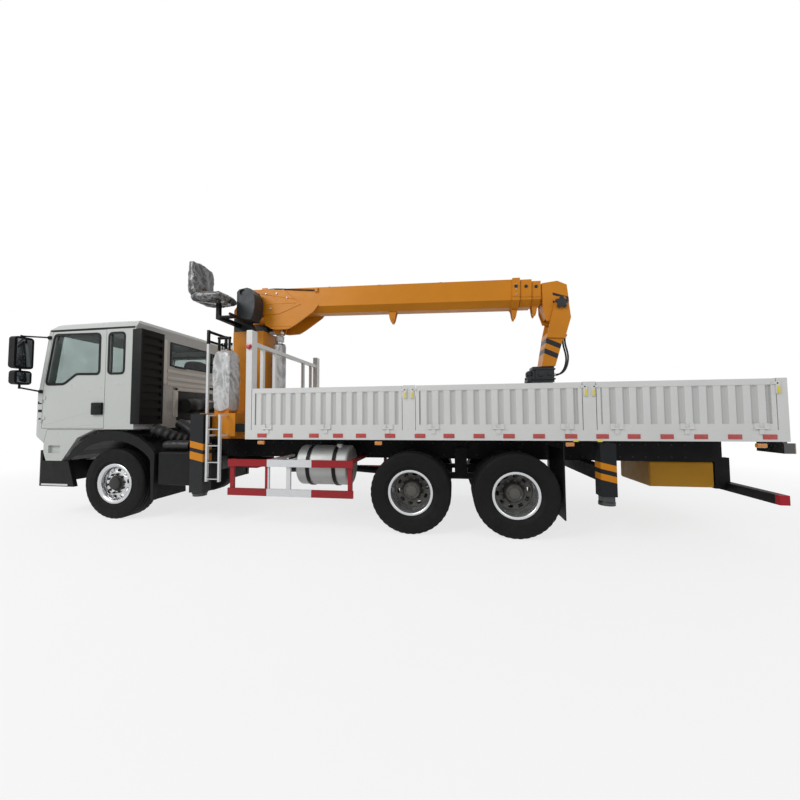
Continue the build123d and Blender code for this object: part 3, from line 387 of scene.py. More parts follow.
def glassMat(name, tone, clear):
    mat, shader = newMat(name)
    smear = noiseNode(3.0, 4.0)
    rough = rampNode(smear, [(0.35, grey(0.02)), (0.75, grey(0.07))])
    link(rough, shader.inputs["Roughness"])
    tint = rampNode(smear, [(0.3, shade(tone, 0.85)), (0.7, tone)])
    link(tint, shader.inputs["Base Color"])
    setInputs(shader, {"Transmission Weight": clear, "IOR": 1.22, "Specular IOR Level": 0.3})
    return mat


def lensMat(name, tone, tail=None):
    # small facets, each painted light in its middle and dark at its edge as painted glint and shade; with tail tones
    # the rear half of the node is a tail lamp
    mat, shader = newMat(name)
    cells = newNode("TexVoronoi")
    setInputs(cells, {"Scale": 110.0})
    link(newNode("TexCoord").outputs["Object"], cells.inputs["Vector"])
    depth = cells.outputs["Distance"]

    def facetShading(colour):
        return rampNode(depth, [(0.0, shade(colour, 1.25)), (0.8, shade(colour, 0.55))])
    tint = facetShading(tone)
    if tail:
        x, reach, z = positionParts()
        behind = mixColour(over(reach, 1.12), facetShading(tail[0]), tail[1])
        behind = mixColour(over(x, at(8.962)), blackInk, behind)
        tint = mixColour(over(x, 0.0), tint, behind)
    link(tint, shader.inputs["Base Color"])
    addBump(shader, depth, 0.5, 0.003)
    setInputs(shader, {"Roughness": 0.16, "Coat Weight": 0.8})
    return mat


# tones that several materials share
frameInk = (0.005, 0.005, 0.006)
legInk = (0.013, 0.0145, 0.016)
liningInk = (0.035, 0.036, 0.04)
orangePaint = (0.62, 0.225, 0.012)
redTone = (0.55, 0.02, 0.015)
amberTone = (0.75, 0.25, 0.01)
clearTone = (0.62, 0.64, 0.66)
endless = 99.0  # open end of a span

# materials; zones are spans of stations, distances out and heights, or slanted bands (heights, slope, station)
craneLook = dict(tone=orangePaint, vary=0.06, rough=0.4, specular=0.2, coat=0.04, dust=0.08, dustTop=2.0, grain=0.03)
frameLook = dict(tone=frameInk, vary=0.25, rough=0.55, specular=0.12, grain=0.06)
casing = dict(x=(6.92, 7.13), out=(1.045, endless), z=(-endless, 1.21))  # of the rear jacks
paints = {
    "cabCream": dict(tone=(0.68, 0.67, 0.62), vary=0.04, rough=0.4, coat=0.1, dust=0.15, dustTop=1.9, grain=0.03),
    "cabWhite": dict(tone=(0.48, 0.497, 0.475), vary=0.012, rough=0.3, roughSpread=0.03, specular=0.35, coat=0.15,
                     dust=0.06, grain=0.012, zones=[
                         dict(x=(-1.16, 0.295), out=(-endless, 1.155), z=(1.42, 2.93), tone=liningInk),
                         dict(x=(-1.0, 0.28), out=(-endless, 1.08), z=(2.90, 3.06), tone=liningInk)]),
    "bedWhite": dict(tone=(0.655, 0.66, 0.64), vary=0.03, rough=0.38, coat=0.15, dust=0.12, dustTop=1.6, grain=0.03),
    "boardWhite": dict(tone=(0.66, 0.665, 0.645), vary=0.03, rough=0.38, coat=0.1, dust=0.1, dustTop=1.6, grain=0.03,
                       zones=[dict(out=(1.20, 1.2425), z=(1.44, 1.875), tone=(0.50, 0.505, 0.485))]),
    "laddersWhite": dict(tone=(0.64, 0.65, 0.65), vary=0.04, rough=0.4, dust=0.15, grain=0.05),
    "frameBlack": dict(frameLook, dust=0.05),
    "frameTone": dict(frameLook, dust=0.03, zones=[
        dict(casing, tone=legInk),
        dict(casing, bands=(((0.884, 0.961), (0.752, 0.829)), 0.24, 6.994), tone=orangePaint),
        dict(x=(8.80, endless), out=(1.14, endless), z=(-endless, 0.63), tone=(0.40, 0.02, 0.03))]),
    "trimBlack": dict(tone=(0.005, 0.0055, 0.006), vary=0.2, rough=0.5, specular=0.16, dust=0.03, grain=0.12,
                      grainScale=420.0),
    "sealBlack": dict(tone=(0.006, 0.006, 0.007), vary=0.1, rough=0.5, specular=0.2, grain=0.08),
    "hoseBlack": dict(tone=grey(0.009), vary=0.15, rough=0.48, specular=0.3, grain=0.15, grainScale=500.0),
    "ductBlack": dict(tone=(0.010, 0.010, 0.011), vary=0.2, rough=0.45, specular=0.3, dust=0.05, dustTop=2.4,
                      grain=0.1, grainScale=300.0),
    "tyreRubber": dict(tone=(0.0055, 0.0055, 0.006), vary=0.2, rough=0.66, specular=0.14, dust=0.02, dustTop=1.1,
                       grain=0.2, grainScale=350.0),
    "engineIron": dict(tone=(0.06, 0.063, 0.066), vary=0.25, rough=0.6, metal=0.3, dust=0.2, grain=0.2),
    "hubIron": dict(tone=(0.022, 0.022, 0.021), vary=0.25, rough=0.5, specular=0.3, dust=0.04, grain=0.1),
    # dark grey of the twin hubs and sunk twin discs; on the discs it is painted shade in the deep dish
    "discGrey": dict(tone=(0.075, 0.073, 0.066), vary=0.2, rough=0.45, metal=0.2, dust=0.1, grain=0.08),
    "cabinGrey": dict(tone=(0.07, 0.07, 0.075), vary=0.1, rough=0.6, grain=0.15, grainScale=300.0),
    "craneGrey": dict(tone=(0.022, 0.026, 0.029), vary=0.1, rough=0.45, specular=0.3, grain=0.04),
    "legGrey": dict(tone=legInk, vary=0.12, rough=0.45, specular=0.2, dust=0.05, grain=0.05, zones=[
        dict(out=(1.05, endless), bands=(((1.126, 1.22), (0.958, 1.07)), 0.22, 1.325), tone=orangePaint)]),
    "tankMetal": dict(tone=(0.42, 0.43, 0.42), vary=0.06, rough=0.46, metal=0.35, dust=0.2, grain=0.05,
                      grainStretch=(0.05, 1, 1)),
    "steelRod": dict(tone=(0.48, 0.49, 0.50), vary=0.05, rough=0.28, metal=0.9, grain=0.04),
    "jackSteel": dict(tone=(0.045, 0.048, 0.052), vary=0.12, rough=0.42, metal=0.3, dust=0.05, grain=0.05),
    "nutSteel": dict(tone=(0.40, 0.40, 0.41), vary=0.1, rough=0.36, metal=0.85, grain=0.05),
    "ropeSteel": dict(tone=grey(0.20), vary=0.25, rough=0.4, metal=0.7, grain=0.5, grainScale=260.0,
                      grainStretch=(1, 1, 3)),
    "rimSilver": dict(tone=(0.62, 0.63, 0.64), vary=0.05, rough=0.24, metal=0.85, dust=0.06, grain=0.04),
    "mirrorFace": dict(tone=(0.16, 0.17, 0.18), vary=0.01, rough=0.03, roughSpread=0.01, metal=1.0, grain=0.005),
    "padFabric": dict(tone=(0.05, 0.052, 0.058), vary=0.15, rough=0.85, grain=0.5, grainScale=700.0, grainDepth=0.001),
    "weightYellow": dict(tone=(0.50, 0.235, 0.006), vary=0.07, rough=0.45, specular=0.2, dust=0.1, grain=0.05),
    "handleYellow": dict(tone=(0.75, 0.62, 0.05), vary=0.05, rough=0.4, grain=0.05),
    "guardRed": dict(tone=(0.31, 0.010, 0.016), vary=0.06, rough=0.42, specular=0.25, dust=0.06, grain=0.04,
                     zones=[dict(x=(2.58, 3.24), tone=(0.70, 0.71, 0.72))]),
    "craneOrange": craneLook,
    # the near-black band round the column's head is painted shade under the winch hood
    "columnOrangeHeadShade": dict(craneLook, zones=[dict(z=(3.05, 3.29), tone=(0.018, 0.018, 0.02))]),
    "jibOrange": dict(craneLook, zones=[
        dict(bands=(((2.674, 2.757), (2.50, 2.585)), 0.47, 6.62), tone=blackInk)]),
    "headOrange": dict(craneLook, zones=[
        dict(x=(6.735, endless), bands=(((3.424, 3.468), (3.303, 3.339)), 0.36, 6.755), tone=blackInk)]),
}
# the bright peaks of the dark seat film are painted glints on its creases
darkFilmGlintStops = [(0.30, 0.016), (0.45, 0.035), (0.50, 0.22), (0.55, 0.04), (0.66, 0.13), (0.72, 0.025)]
paleStops = [(0.28, 0.17), (0.42, 0.36), (0.52, 0.60), (0.60, 0.38), (0.74, 0.22)]
mats = {name: finish(name, look) for name, look in paints.items()}
mats["filmDark"] = filmMat("filmDark", darkFilmGlintStops, 6.0, 0.15)
mats["filmPale"] = filmMat("filmPale", paleStops, 4.0, 0.3)
mats["windowGlass"] = glassMat("windowGlass", (0.57, 0.635, 0.62), 0.98)
for name, tone, tail in (("redLens", redTone, None), ("amberLens", amberTone, None), ("clearLens", clearTone, None),
                         ("lampLens", clearTone, (redTone, amberTone))):
    mats[name] = lensMat(name, tone, tail)
print("stage: materials made")


# CAD pieces that keep their own shape
dressing = (
    ("frameTone", "chassis_frame"), ("engineIron", "engine"), ("lampLens", "lamps"), ("tankMetal", "fuel_tank"),
    ("frameBlack", "axles knuckle_left knuckle_right tie_rod"),
    ("trimBlack", "front_bumper mudguards side_boxes cab_trim crane_seat"),
    ("guardRed", "side_guards"), ("weightYellow", "counterweight"), ("laddersWhite", "ladders"),
    ("bedWhite", "bed_floor headboard tailgate"), ("cabinGrey", "cab_interior"),
    ("boardWhite", "board_left_1 board_left_2 board_left_3 board_right_1 board_right_2 board_right_3"),
    ("cabWhite", "cab_body cab_roof cab_front door_left door_right entry_steps"),
    ("windowGlass", "cab_glass door_left_glass door_right_glass"),
    ("craneOrange", "crane_base boom_base boom_2 boom_3"), ("columnOrangeHeadShade", "column"),
    ("headOrange", "boom_4"), ("jibOrange", "jib"), ("craneGrey", "winch_hoods luff_barrel rotator"),
    ("steelRod", "luff_rod rotor"), ("legGrey", "beam_left beam_right"),
    ("jackSteel", "jack_left jack_right rear_jack_left rear_jack_right"),
)
for mat, names in dressing:
    for nodeName in names.split():
        piece = nodes[nodeName]
        if not piece.material_slots:
            piece.data.materials.append(mats[mat])
        for entry in piece.material_slots:
            entry.material = mats[mat]
print("stage: CAD pieces dressed")


# wheels
wheelLook = {"radius": 0.538, "half": 0.156, "bead": 0.287, "segments": 120, "lugEvery": 3, "lugDeep": 0.005,
             "nuts": 10, "plate": 0.009, "capBolts": 8, "capRing": 0.093}
discLook = {"holeBand": 2, "holes": 10, "perHole": 6, "openSteps": 3}
# outlines of (radius, along); along points outwards
wheelShape = {
    "front": {
        "rim": [(0.2865, -0.108), (0.2865, -0.095), (0.262, -0.085), (0.258, 0.04), (0.262, 0.085), (0.281, 0.1),
                (0.2865, 0.108), (0.2745, 0.108), (0.262, 0.095)],
        "trim": [(0.250, 0.112), (0.262, 0.128), (0.276, 0.138), (0.288, 0.142), (0.298, 0.139), (0.304, 0.131)],
        "disc": [(0.258, 0.066), (0.246, 0.077), (0.225, 0.082), (0.186, 0.090), (0.168, 0.094), (0.10, 0.096)],
        "hub": [(0.0, 0.150), (0.07, 0.149), (0.088, 0.146), (0.095, 0.138), (0.097, 0.112), (0.118, 0.108),
                (0.121, 0.1), (0.121, 0.06)],
        "nutRing": 0.1425, "nutBase": 0.094, "nutTall": 0.028, "offset": -1, "hubMat": "hubIron",
        "hubSlot": "steel_rod"},
    "twin": {
        "rim": [(0.2865, 0.108), (0.2745, 0.108), (0.262, 0.09), (0.256, -0.05), (0.25, -0.145), (0.2535, -0.145),
                (0.262, -0.05), (0.2865, -0.09), (0.2865, -0.108)],
        "trim": [(0.262, 0.108), (0.268, 0.118), (0.280, 0.124), (0.292, 0.125), (0.301, 0.121), (0.305, 0.112)],
        "disc": [(0.252, -0.143), (0.24, -0.139), (0.222, -0.141), (0.184, -0.150), (0.168, -0.154), (0.10, -0.156)],
        "hub": [(0.0, 0.005), (0.055, 0.004), (0.07, 0.0), (0.078, -0.012), (0.10, -0.02), (0.112, -0.03),
                (0.118, -0.05), (0.12, -0.13), (0.124, -0.165)],
        "nutRing": 0.148, "nutBase": -0.154, "nutTall": 0.03, "offset": 1, "hubMat": "discGrey",
        "hubSlot": "frame_black"},
}


def tyreProfile():
    r, h, b = wheelLook["radius"], wheelLook["half"], wheelLook["bead"]
    wall = [(b, 0.108), (b + 0.006, 0.118), (0.302, 0.127), (0.312, 0.128), (0.318, 0.134), (0.345, 0.149),
            (0.352, 0.1525), (0.358, 0.151), (0.39, 0.1545), (0.43, h), (0.462, 0.1545), (0.468, 0.1525),
            (0.474, 0.1535), (0.50, 0.150), (0.516, 0.144), (r - 0.004, 0.131), (r, 0.118)]
    tread = []
    for groove in (0.085, 0.032):
        tread += [(r, groove + 0.008), (r - 0.013, groove + 0.005), (r - 0.013, groove - 0.005), (r, groove - 0.008)]
    right = wall + tread
    return right + [(radius, -along) for radius, along in reversed(right)]


def makeTyre(name, centre, body):
    outline = tyreProfile()
    last = len(outline) - 1
    shoulder = {15, 16, 17, last - 15, last - 16, last - 17}

    def waver(step, index, angle):
        return -wheelLook["lugDeep"] if index in shoulder and step % wheelLook["lugEvery"] == 0 else 0.0
    bm = bmesh.new()
    turnedMesh(bm, centre, outline, wheelLook["segments"], "Y", waver)
    return dress(name, bm, "tyreRubber", body)


def pressedDisc(bm, centre, bands):
    # rings of (radius, along) with openings left in one band
    perHole = discLook["perHole"]
    count = discLook["holes"] * perHole
    rings = [[bm.verts.new(Vector(centre) + Vector((radius * c, along, radius * s))) for c, s in circle(count)]
             for radius, along in bands]
    for band in range(len(bands) - 1):
        for s in range(count):
            if band == discLook["holeBand"] and s % perHole < discLook["openSteps"]:
                continue
            t = (s + 1) % count
            bm.faces.new((rings[band][s], rings[band + 1][s], rings[band + 1][t], rings[band][t]))


def facing(outline, side):
    return [(radius, side * along) for radius, along in outline]


def makeRim(name, centre, body, side, kind):
    shape = wheelShape[kind]
    bm = bmesh.new()
    turnedMesh(bm, centre, facing(shape["rim"], side), 60)
    turnedMesh(bm, centre, facing(shape["trim"], side), 72)
    ring = set(bm.faces)
    pressedDisc(bm, centre, facing(shape["disc"], side))
    if kind == "twin":  # the sunk discs get a dark grey, painted shade in the deep dish
        for face in bm.faces:
            if face not in ring:
                face.material_index = 1
    piece = dress(name, bm, "rimSilver", body)
    piece.data.materials.append(mats["discGrey"])
    thick = piece.modifiers.new("thick", "SOLIDIFY")
    thick.thickness = wheelLook["plate"]
    thick.offset = side * shape["offset"]


def makeHub(name, centre, body, side, kind):
    shape = wheelShape[kind]
    bm = bmesh.new()
    turnedMesh(bm, centre, facing(shape["hub"], side), 48)
    nutRing, nutBase = shape["nutRing"], shape["nutBase"]
    for c, s in circle(wheelLook["nuts"], 0.15):
        point = Vector(centre) + Vector((nutRing * c, side * nutBase, nutRing * s))
        addNut(bm, point, (0, side, 0), 0.019, shape["nutTall"])
    if kind == "twin":
        capRing = wheelLook["capRing"]
        for c, s in circle(wheelLook["capBolts"]):
            point = Vector(centre) + Vector((capRing * c, side * -0.02, capRing * s))
            addDrum(bm, point, point + outward(side, 0.014), 0.009, 6, 0.001)
    dress(name, bm, shape["hubMat"], body)


for side, label, hand in sides:
    node = "wheel_front_" + hand
    centre = (at(0.0), side * 1.02, wheelLook["radius"])
    tyre = makeTyre("frontTyre" + label, centre, node)
    makeRim("frontRim" + label, centre, node, side, "front")
    makeHub("frontHub" + label, centre, node, side, "front")
    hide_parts(node)
    for row, station in (("mid", 4.6), ("rear", 5.95)):
        node = "wheel_" + row + "_" + hand
        outer = (at(station), side * 1.08, wheelLook["radius"])
        inner = (at(station), side * 0.735, wheelLook["radius"])
        tyre = makeTyre(row + "OuterTyre" + label, outer, node)
        makeTyre(row + "InnerTyre" + label, inner, node)
        makeRim(row + "OuterRim" + label, outer, node, side, "twin")
        makeRim(row + "InnerRim" + label, inner, node, -side, "twin")
        makeHub(row + "Hub" + label, outer, node, side, "twin")
        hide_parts(node)
print("stage: wheels made")


# cab dressing
doorWindow = [(-1.285, 2.104), (-0.956, 2.104), (-0.723, 2.261), (-0.307, 2.251), (-0.311, 2.867), (-1.148, 2.880)]
doorEdge = [(-1.348, 1.391), (-0.187, 1.391), (-0.187, 2.943), (-1.192, 2.943), (-1.348, 2.04)]
doorCreases = [[(-1.30, 1.44), (-1.15, 1.485), (-0.85, 1.565), (-0.42, 1.66)],
               [(-1.0, 1.40), (-0.80, 1.412), (-0.55, 1.445), (-0.22, 1.452)]]
quarterWindow = [(-0.125, 2.249), (0.140, 2.249), (0.140, 2.870), (-0.125, 2.870)]
bandLook = {"near": 1.1985, "far": 1.205, "into": 0.008, "round": 0.05}
mirrorLook = {"out": 1.388, "span": (-1.474, -1.464), "faces": ((2.58, 0.43, 0.19), (2.19, 0.16, 0.16))}


def windowBand(name, outline, side, reachOut, body):
    # flat rubber band round an opening in a side wall
    near, far, into = bandLook["near"], bandLook["far"], bandLook["into"]
    soft = roundLine(outline, bandLook["round"])
    spin = sum(a.x * b.y - b.x * a.y for a, b in zip(soft, soft[1:] + soft[:1]))
    bm = bmesh.new()
    rings = []
    for index, here in enumerate(soft):
        way = (soft[(index + 1) % len(soft)] - soft[index - 1]).normalized()
        out = Vector((way.y, -way.x)) * (1 if spin > 0 else -1)
        ring = []
        for reach, y in ((reachOut, near), (reachOut, far), (-into, far), (-into, near)):
            spot = here + out * reach
            ring.append(bm.verts.new((at(spot.x), side * y, spot.y)))
        rings.append(ring)
    for one, two in zip(rings, rings[1:] + rings[:1]):
        bridge(bm, one, two)
    dress(name, bm, "sealBlack", body)


for side, label, hand in sides:
    door = "door_" + hand
    windowBand("doorBand" + label, doorWindow, side, 0.03, door)
    windowBand("quarterBand" + label, quarterWindow, side, 0.026, "cab")
    tubeCurve("doorSeam" + label, sideLine(doorEdge, side * 1.1945), 0.006, "sealBlack", "cab", True)
    bm = bmesh.new()  # square black grip plate with its bar
    sideBox(bm, side, (-0.395, -0.205), (1.196, 1.234), (1.60, 1.79), 0.012)
    sideBox(bm, side, (-0.375, -0.225), (1.230, 1.242), (1.715, 1.75), 0.005)
    dress("doorGrip" + label, bm, "trimBlack", door)
    for index, crease in enumerate(doorCreases):
        tubeCurve("doorCrease" + label + str(index), sideLine(crease, side * 1.1935), 0.009, "cabWhite", door,
                  smoothLine=True)
    bm = bmesh.new()  # mirror faces look to the tail
    for z, tall, wide in mirrorLook["faces"]:
        spanY = (mirrorLook["out"] - wide / 2, mirrorLook["out"] + wide / 2)
        sideBox(bm, side, mirrorLook["span"], spanY, (z - tall / 2, z + tall / 2), 0.004)
    dress("mirrorFaces" + label, bm, "mirrorFace", "cab")
    bm = bmesh.new()  # dark slots at the nose
    for x, z in ((-1.44, 1.80), (-1.43, 1.67), (-1.415, 1.535)):
        sideBox(bm, side, (x, x + 0.075), (1.19, 1.2035), (z - 0.022, z + 0.022), 0.008)
    dress("noseSlots" + label, bm, "sealBlack", "cab")

low, high = (at(-1.413), 2.075), (at(-1.268), 2.925)  # foot and head of the slanted screen
screen = [(low[0], 1.03, low[1]), (low[0], -1.03, low[1]), (high[0], -1.03, high[1]), (high[0], 1.03, high[1])]
tubeCurve("screenSeal", screen, 0.016, "sealBlack", "cab", True)
backFrame = [(at(0.346), y, z) for y, z in ((-0.54, 2.45), (0.54, 2.45), (0.54, 2.85), (-0.54, 2.85))]
tubeCurve("backSeal", backFrame, 0.014, "sealBlack", "cab", True)
for label, y in (("Left", -0.75), ("Right", 0.25)):
    arm = [(at(-1.432), y, 2.03), (at(-1.425), y + 0.08, 2.09), (at(-1.405), y + 0.62, 2.20)]
    tubeCurve("wiperArm" + label, arm, 0.008, "sealBlack", "cab")

# pressed ribs on the back wall: station of their face, bevel and (y, y, z, z) spans
ribLook = (
    (0.359, 0.012, ((-0.74, -0.62, 2.12, 2.88), (0.62, 0.74, 2.12, 2.88), (0.84, 0.96, 2.12, 2.88),
                    (-0.60, 1.02, 2.10, 2.16), (-0.60, 1.02, 2.20, 2.26), (-0.60, 1.02, 2.32, 2.38))),
    (0.366, 0.015, ((-0.46, -0.37, 1.56, 2.08), (-0.46, 1.02, 2.02, 2.08))),
)
bm = bmesh.new()
for face, bevel, spans in ribLook:
    for y0, y1, z0, z1 in spans:
        addBox(bm, (at(0.340), y0, z0), (at(face), y1, z1), bevel)
dress("cabBackRibs", bm, "cabCream", "cab")
bm = bmesh.new()  # dark plate on the back wall as painted shade of its hollow, with a ribbed duct across it
addBox(bm, (at(0.340), -0.38, 1.50), (at(0.352), 1.02, 2.03), 0.004)
addBox(bm, (at(0.345), -0.44, 2.425), (at(0.378), -0.19, 2.455), 0.006)
ribbedTube(bm, [(0.47, -0.33, 1.76), (0.48, 0.2, 1.80), (0.48, 0.6, 1.80), (0.47, 0.98, 1.76)], 0.125, 0.016, 0.24)
dress("backDuctAndShadePlate", bm, "ductBlack", "cab")
bm = bmesh.new()  # dark strip beside the air intake
addBox(bm, (at(0.292), -1.2065, 1.455), (at(0.452), -1.192, 2.925), 0.003)
dress("intakeStrip", bm, "trimBlack", "cab")
bm = bmesh.new()  # dark roof gutter
for side in (-1, 1):
    sideBox(bm, side, (-1.24, 0.33), (1.196, 1.207), (2.945, 2.973), 0.004)
dress("cabGutters", bm, "sealBlack", "cab")

padLook = {"cuts": 12, "round": 0.34, "channel": 0.07}


def makePad(name, low, high, mat, body, channels=()):
    # cushion from a rounded cube; channels are (axis, place, depth)
    bm = bmesh.new()
    bmesh.ops.create_cube(bm, size=2.0)
    bmesh.ops.subdivide_edges(bm, edges=bm.edges, cuts=padLook["cuts"], use_grid_fill=True)
    mid = [(a + b) / 2 for a, b in zip(low, high)]
    half = [(b - a) / 2 for a, b in zip(low, high)]
    for v in bm.verts:
        x, y, z = v.co
        a, b, c = (padLook["round"] * part * part / 2 for part in v.co)
        p = [x * math.sqrt(max(0.0, 1 - b - c)), y * math.sqrt(max(0.0, 1 - c - a)),
             z * math.sqrt(max(0.0, 1 - a - b))]
        for axis, where, deep in channels:
            near = math.exp(-((v.co[axis] - where) / padLook["channel"]) ** 2)
            for other in range(3):
                if other != axis:
                    p[other] *= 1 - deep * near
        v.co = Vector([m + h * part for m, h, part in zip(mid, half, p)])
    piece = addPiece(name, meshFrom(name, bm), mat, body)
    return piece


sideSeams = ((1, -0.55, 0.05), (1, 0.55, 0.05))
for label, y in (("Driver", -0.55), ("Mate", 0.55)):
    low, high = y - 0.262, y + 0.262
    pad = makePad("cabPan" + label, (at(-0.60), low, 1.80), (at(-0.02), high, 1.985), "padFabric", "cab", sideSeams)
    pad = makePad("cabBack" + label, (at(-0.17), low, 1.88), (at(0.09), high, 2.70), "padFabric", "cab",
                  ((2, 0.45, 0.06), *sideSeams))
print("stage: cab dressed")


# bed dressing
bedLook = {"reflectors": (2.502, 2.894, 3.276, 3.62, 3.943, 4.341, 4.741, 5.117, 5.497, 5.866, 6.226, 6.6, 6.958,
                          7.307, 7.663, 8.019, 8.366, 8.714),
           "markers": (2.48, 4.18, 6.59, 8.64), "posts": (4.5955, 6.824, 8.86), "hooks": (6.656, 6.931)}
# rows of small boxes: name, stations, half length, spans out and up, bevel, material and slot
rowLook = (
    ("railReflectors", bedLook["reflectors"], 0.07, (1.2495, 1.2565), (1.262, 1.318), 0.003, "redLens", "lamp_lens"),
    ("sideMarkers", bedLook["markers"], 0.05, (1.205, 1.25), (1.165, 1.215), 0.012, "amberLens", "lamp_lens"),
    ("markerStems", bedLook["markers"], 0.02, (1.212, 1.238), (1.205, 1.24), 0.003, "trimBlack", "trim_black"),
)


def rowBox(bm, side, x, half, spanY, spanZ, bevel):
    sideBox(bm, side, (x - half, x + half), spanY, spanZ, bevel)


for side, label, hand in sides:
    for name, stations, half, spanY, spanZ, bevel, mat, slotName in rowLook:
        bm = bmesh.new()
        for x in stations:
            rowBox(bm, side, x, half, spanY, spanZ, bevel)
        dress(name + label, bm, mat, "chassis")
    bm = bmesh.new()  # latch boxes and levers on the posts
    grips = bmesh.new()
    for post in bedLook["posts"]:
        for way in (-1, 1):
            if post == bedLook["posts"][-1] and way > 0:
                continue
            rowBox(bm, side, post + way * 0.045, 0.022, (1.248, 1.266), (1.78, 1.92), 0.006)
            rowBox(bm, side, post + way * 0.07, 0.03, (1.248, 1.266), (1.885, 1.912), 0.005)
            rowBox(grips, side, post + way * 0.045, 0.012, (1.262, 1.274), (1.785, 1.865), 0.005)
    dress("postLatches" + label, bm, "bedWhite", "chassis")
    for x in bedLook["hooks"]:
        rowBox(grips, side, x, 0.03, (1.225, 1.258), (1.222, 1.25), 0.01)
    dress("latchLevers" + label, grips, "handleYellow", "chassis")
    bm = bmesh.new()  # red lamp on the headboard's post
    for near, far, radius, bevel in ((1.249, 1.268, 0.042, 0.004), (1.267, 1.285, 0.03, 0.006)):
        addDrum(bm, (at(2.285), side * near, 2.565), (at(2.285), side * far, 2.565), radius, 24, bevel)
    dress("postLamp" + label, bm, "redLens", "chassis")
bm = bmesh.new()  # floor planks' seams stand as low ribs
for index in range(1, 11):
    y = -1.1 + index * 0.2
    addBox(bm, (at(2.40), y - 0.006, 1.3705), (at(8.80), y + 0.006, 1.3735), 0.001)
dress("floorRibs", bm, "bedWhite", "chassis")
print("stage: bed dressed")


# chassis dressing
strapLook = {"stations": (3.15, 3.53), "spot": (-0.9, 0.85),
             "outline": [(0.292, -0.028), (0.2955, -0.024), (0.2955, 0.024), (0.292, 0.028)]}
bm = bmesh.new()
for x in strapLook["stations"]:
    rings = turnedMesh(bm, (0, 0, 0), strapLook["outline"], 64)
    fresh = [v for ring in rings for v in ring]
    bmesh.ops.rotate(bm, verts=fresh, cent=(0, 0, 0), matrix=Matrix.Rotation(math.pi / 2, 3, "Z"))
    bmesh.ops.translate(bm, verts=fresh, vec=(at(x), *strapLook["spot"]))
dress("tankStraps", bm, "trimBlack", "chassis")
bm = bmesh.new()
addDrum(bm, (at(3.56), -0.99, 1.158), (at(3.56), -0.99, 1.192), 0.055, 28, 0.006)
dress("tankCap", bm, "trimBlack", "chassis")
bm = bmesh.new()  # head lamp bowls behind their lens
for side in (-1, 1):
    for y in (0.865, 1.005):
        addDrum(bm, (at(-1.4058), side * y, 0.69), (at(-1.4035), side * y, 0.69), 0.062, 28, 0.001)
dress("headlampBowls", bm, "clearLens", "chassis")
boltLook = {"count": 46, "first": 0.9, "pitch": 0.165, "rows": (0.96, 1.13)}
bm = bmesh.new()  # bolts along the frame rails
for side in (-1, 1):
    for index in range(boltLook["count"]):
        x = at(boltLook["first"] + index * boltLook["pitch"])
        for z in boltLook["rows"]:
            addDrum(bm, (x, side * 0.4245, z), (x, side * 0.436, z), 0.011, 6, 0.001)
dress("railBolts", bm, "hubIron", "chassis")
# air hoses behind the cab: line, radius, rib and pitch
airLook = (
    ([(0.48, -0.98, 1.37), (0.62, -0.92, 1.31), (0.80, -0.76, 1.18), (1.02, -0.50, 1.12)], 0.088, 0.016, 0.085),
    ([(0.62, -0.62, 1.46), (0.76, -0.60, 1.38), (0.95, -0.62, 1.26), (1.12, -0.70, 1.12)], 0.082, 0.006, 0.12),
    ([(0.80, -1.06, 1.12), (1.0, -1.06, 1.13), (1.2, -1.04, 1.12)], 0.072, 0.004, 0.09),
)
bm = bmesh.new()
for hose in airLook:
    ribbedTube(bm, *hose)
dress("airHoses", bm, "ductBlack", "chassis")
bm = bmesh.new()  # bright strip along the bumper's foot
for side in (-1, 1):
    sideBox(bm, side, (-1.30, -0.80), (1.195, 1.208), (0.492, 0.522), 0.005)
dress("bumperStrip", bm, "rimSilver", "chassis")
bm = bmesh.new()  # black sleeves on the upper ladder
for z in (2.0, 2.38, 2.75):
    addDrum(bm, (at(1.384), -0.918, z), (at(1.384), -0.535, z), 0.0175, 16, 0.003)
addDrum(bm, (at(1.384), -0.935, 2.9), (at(1.384), -0.515, 2.9), 0.022, 16, 0.004)
for y in (-0.954, -0.534):
    addBox(bm, (at(1.364), y, 2.70), (at(1.404), y + 0.038, 2.925), 0.008)
for z in (0.66, 0.90, 1.14, 1.38):
    addBox(bm, (at(1.64), -1.232, z + 0.006), (at(1.80), -1.192, z + 0.0185), 0.004)
dress("ladderSleeves", bm, "trimBlack", "chassis")
print("stage: chassis dressed")


# crane dressing
craneSet = {"station": 1.48, "z": 3.4, "pitch": math.radians(1.5)}
along = Vector((math.cos(craneSet["pitch"]), 0, -math.sin(craneSet["pitch"])))
upward = Vector((math.sin(craneSet["pitch"]), 0, math.cos(craneSet["pitch"])))
boomRoot = Vector((at(craneSet["station"]), 0, craneSet["z"]))


def boomPoint(u, v, y=0.0):
    return boomRoot + along * u + upward * v + Vector((0, y, 0))


def boomLine(y, *spots):
    return [boomPoint(u, v, y) for u, v in spots]


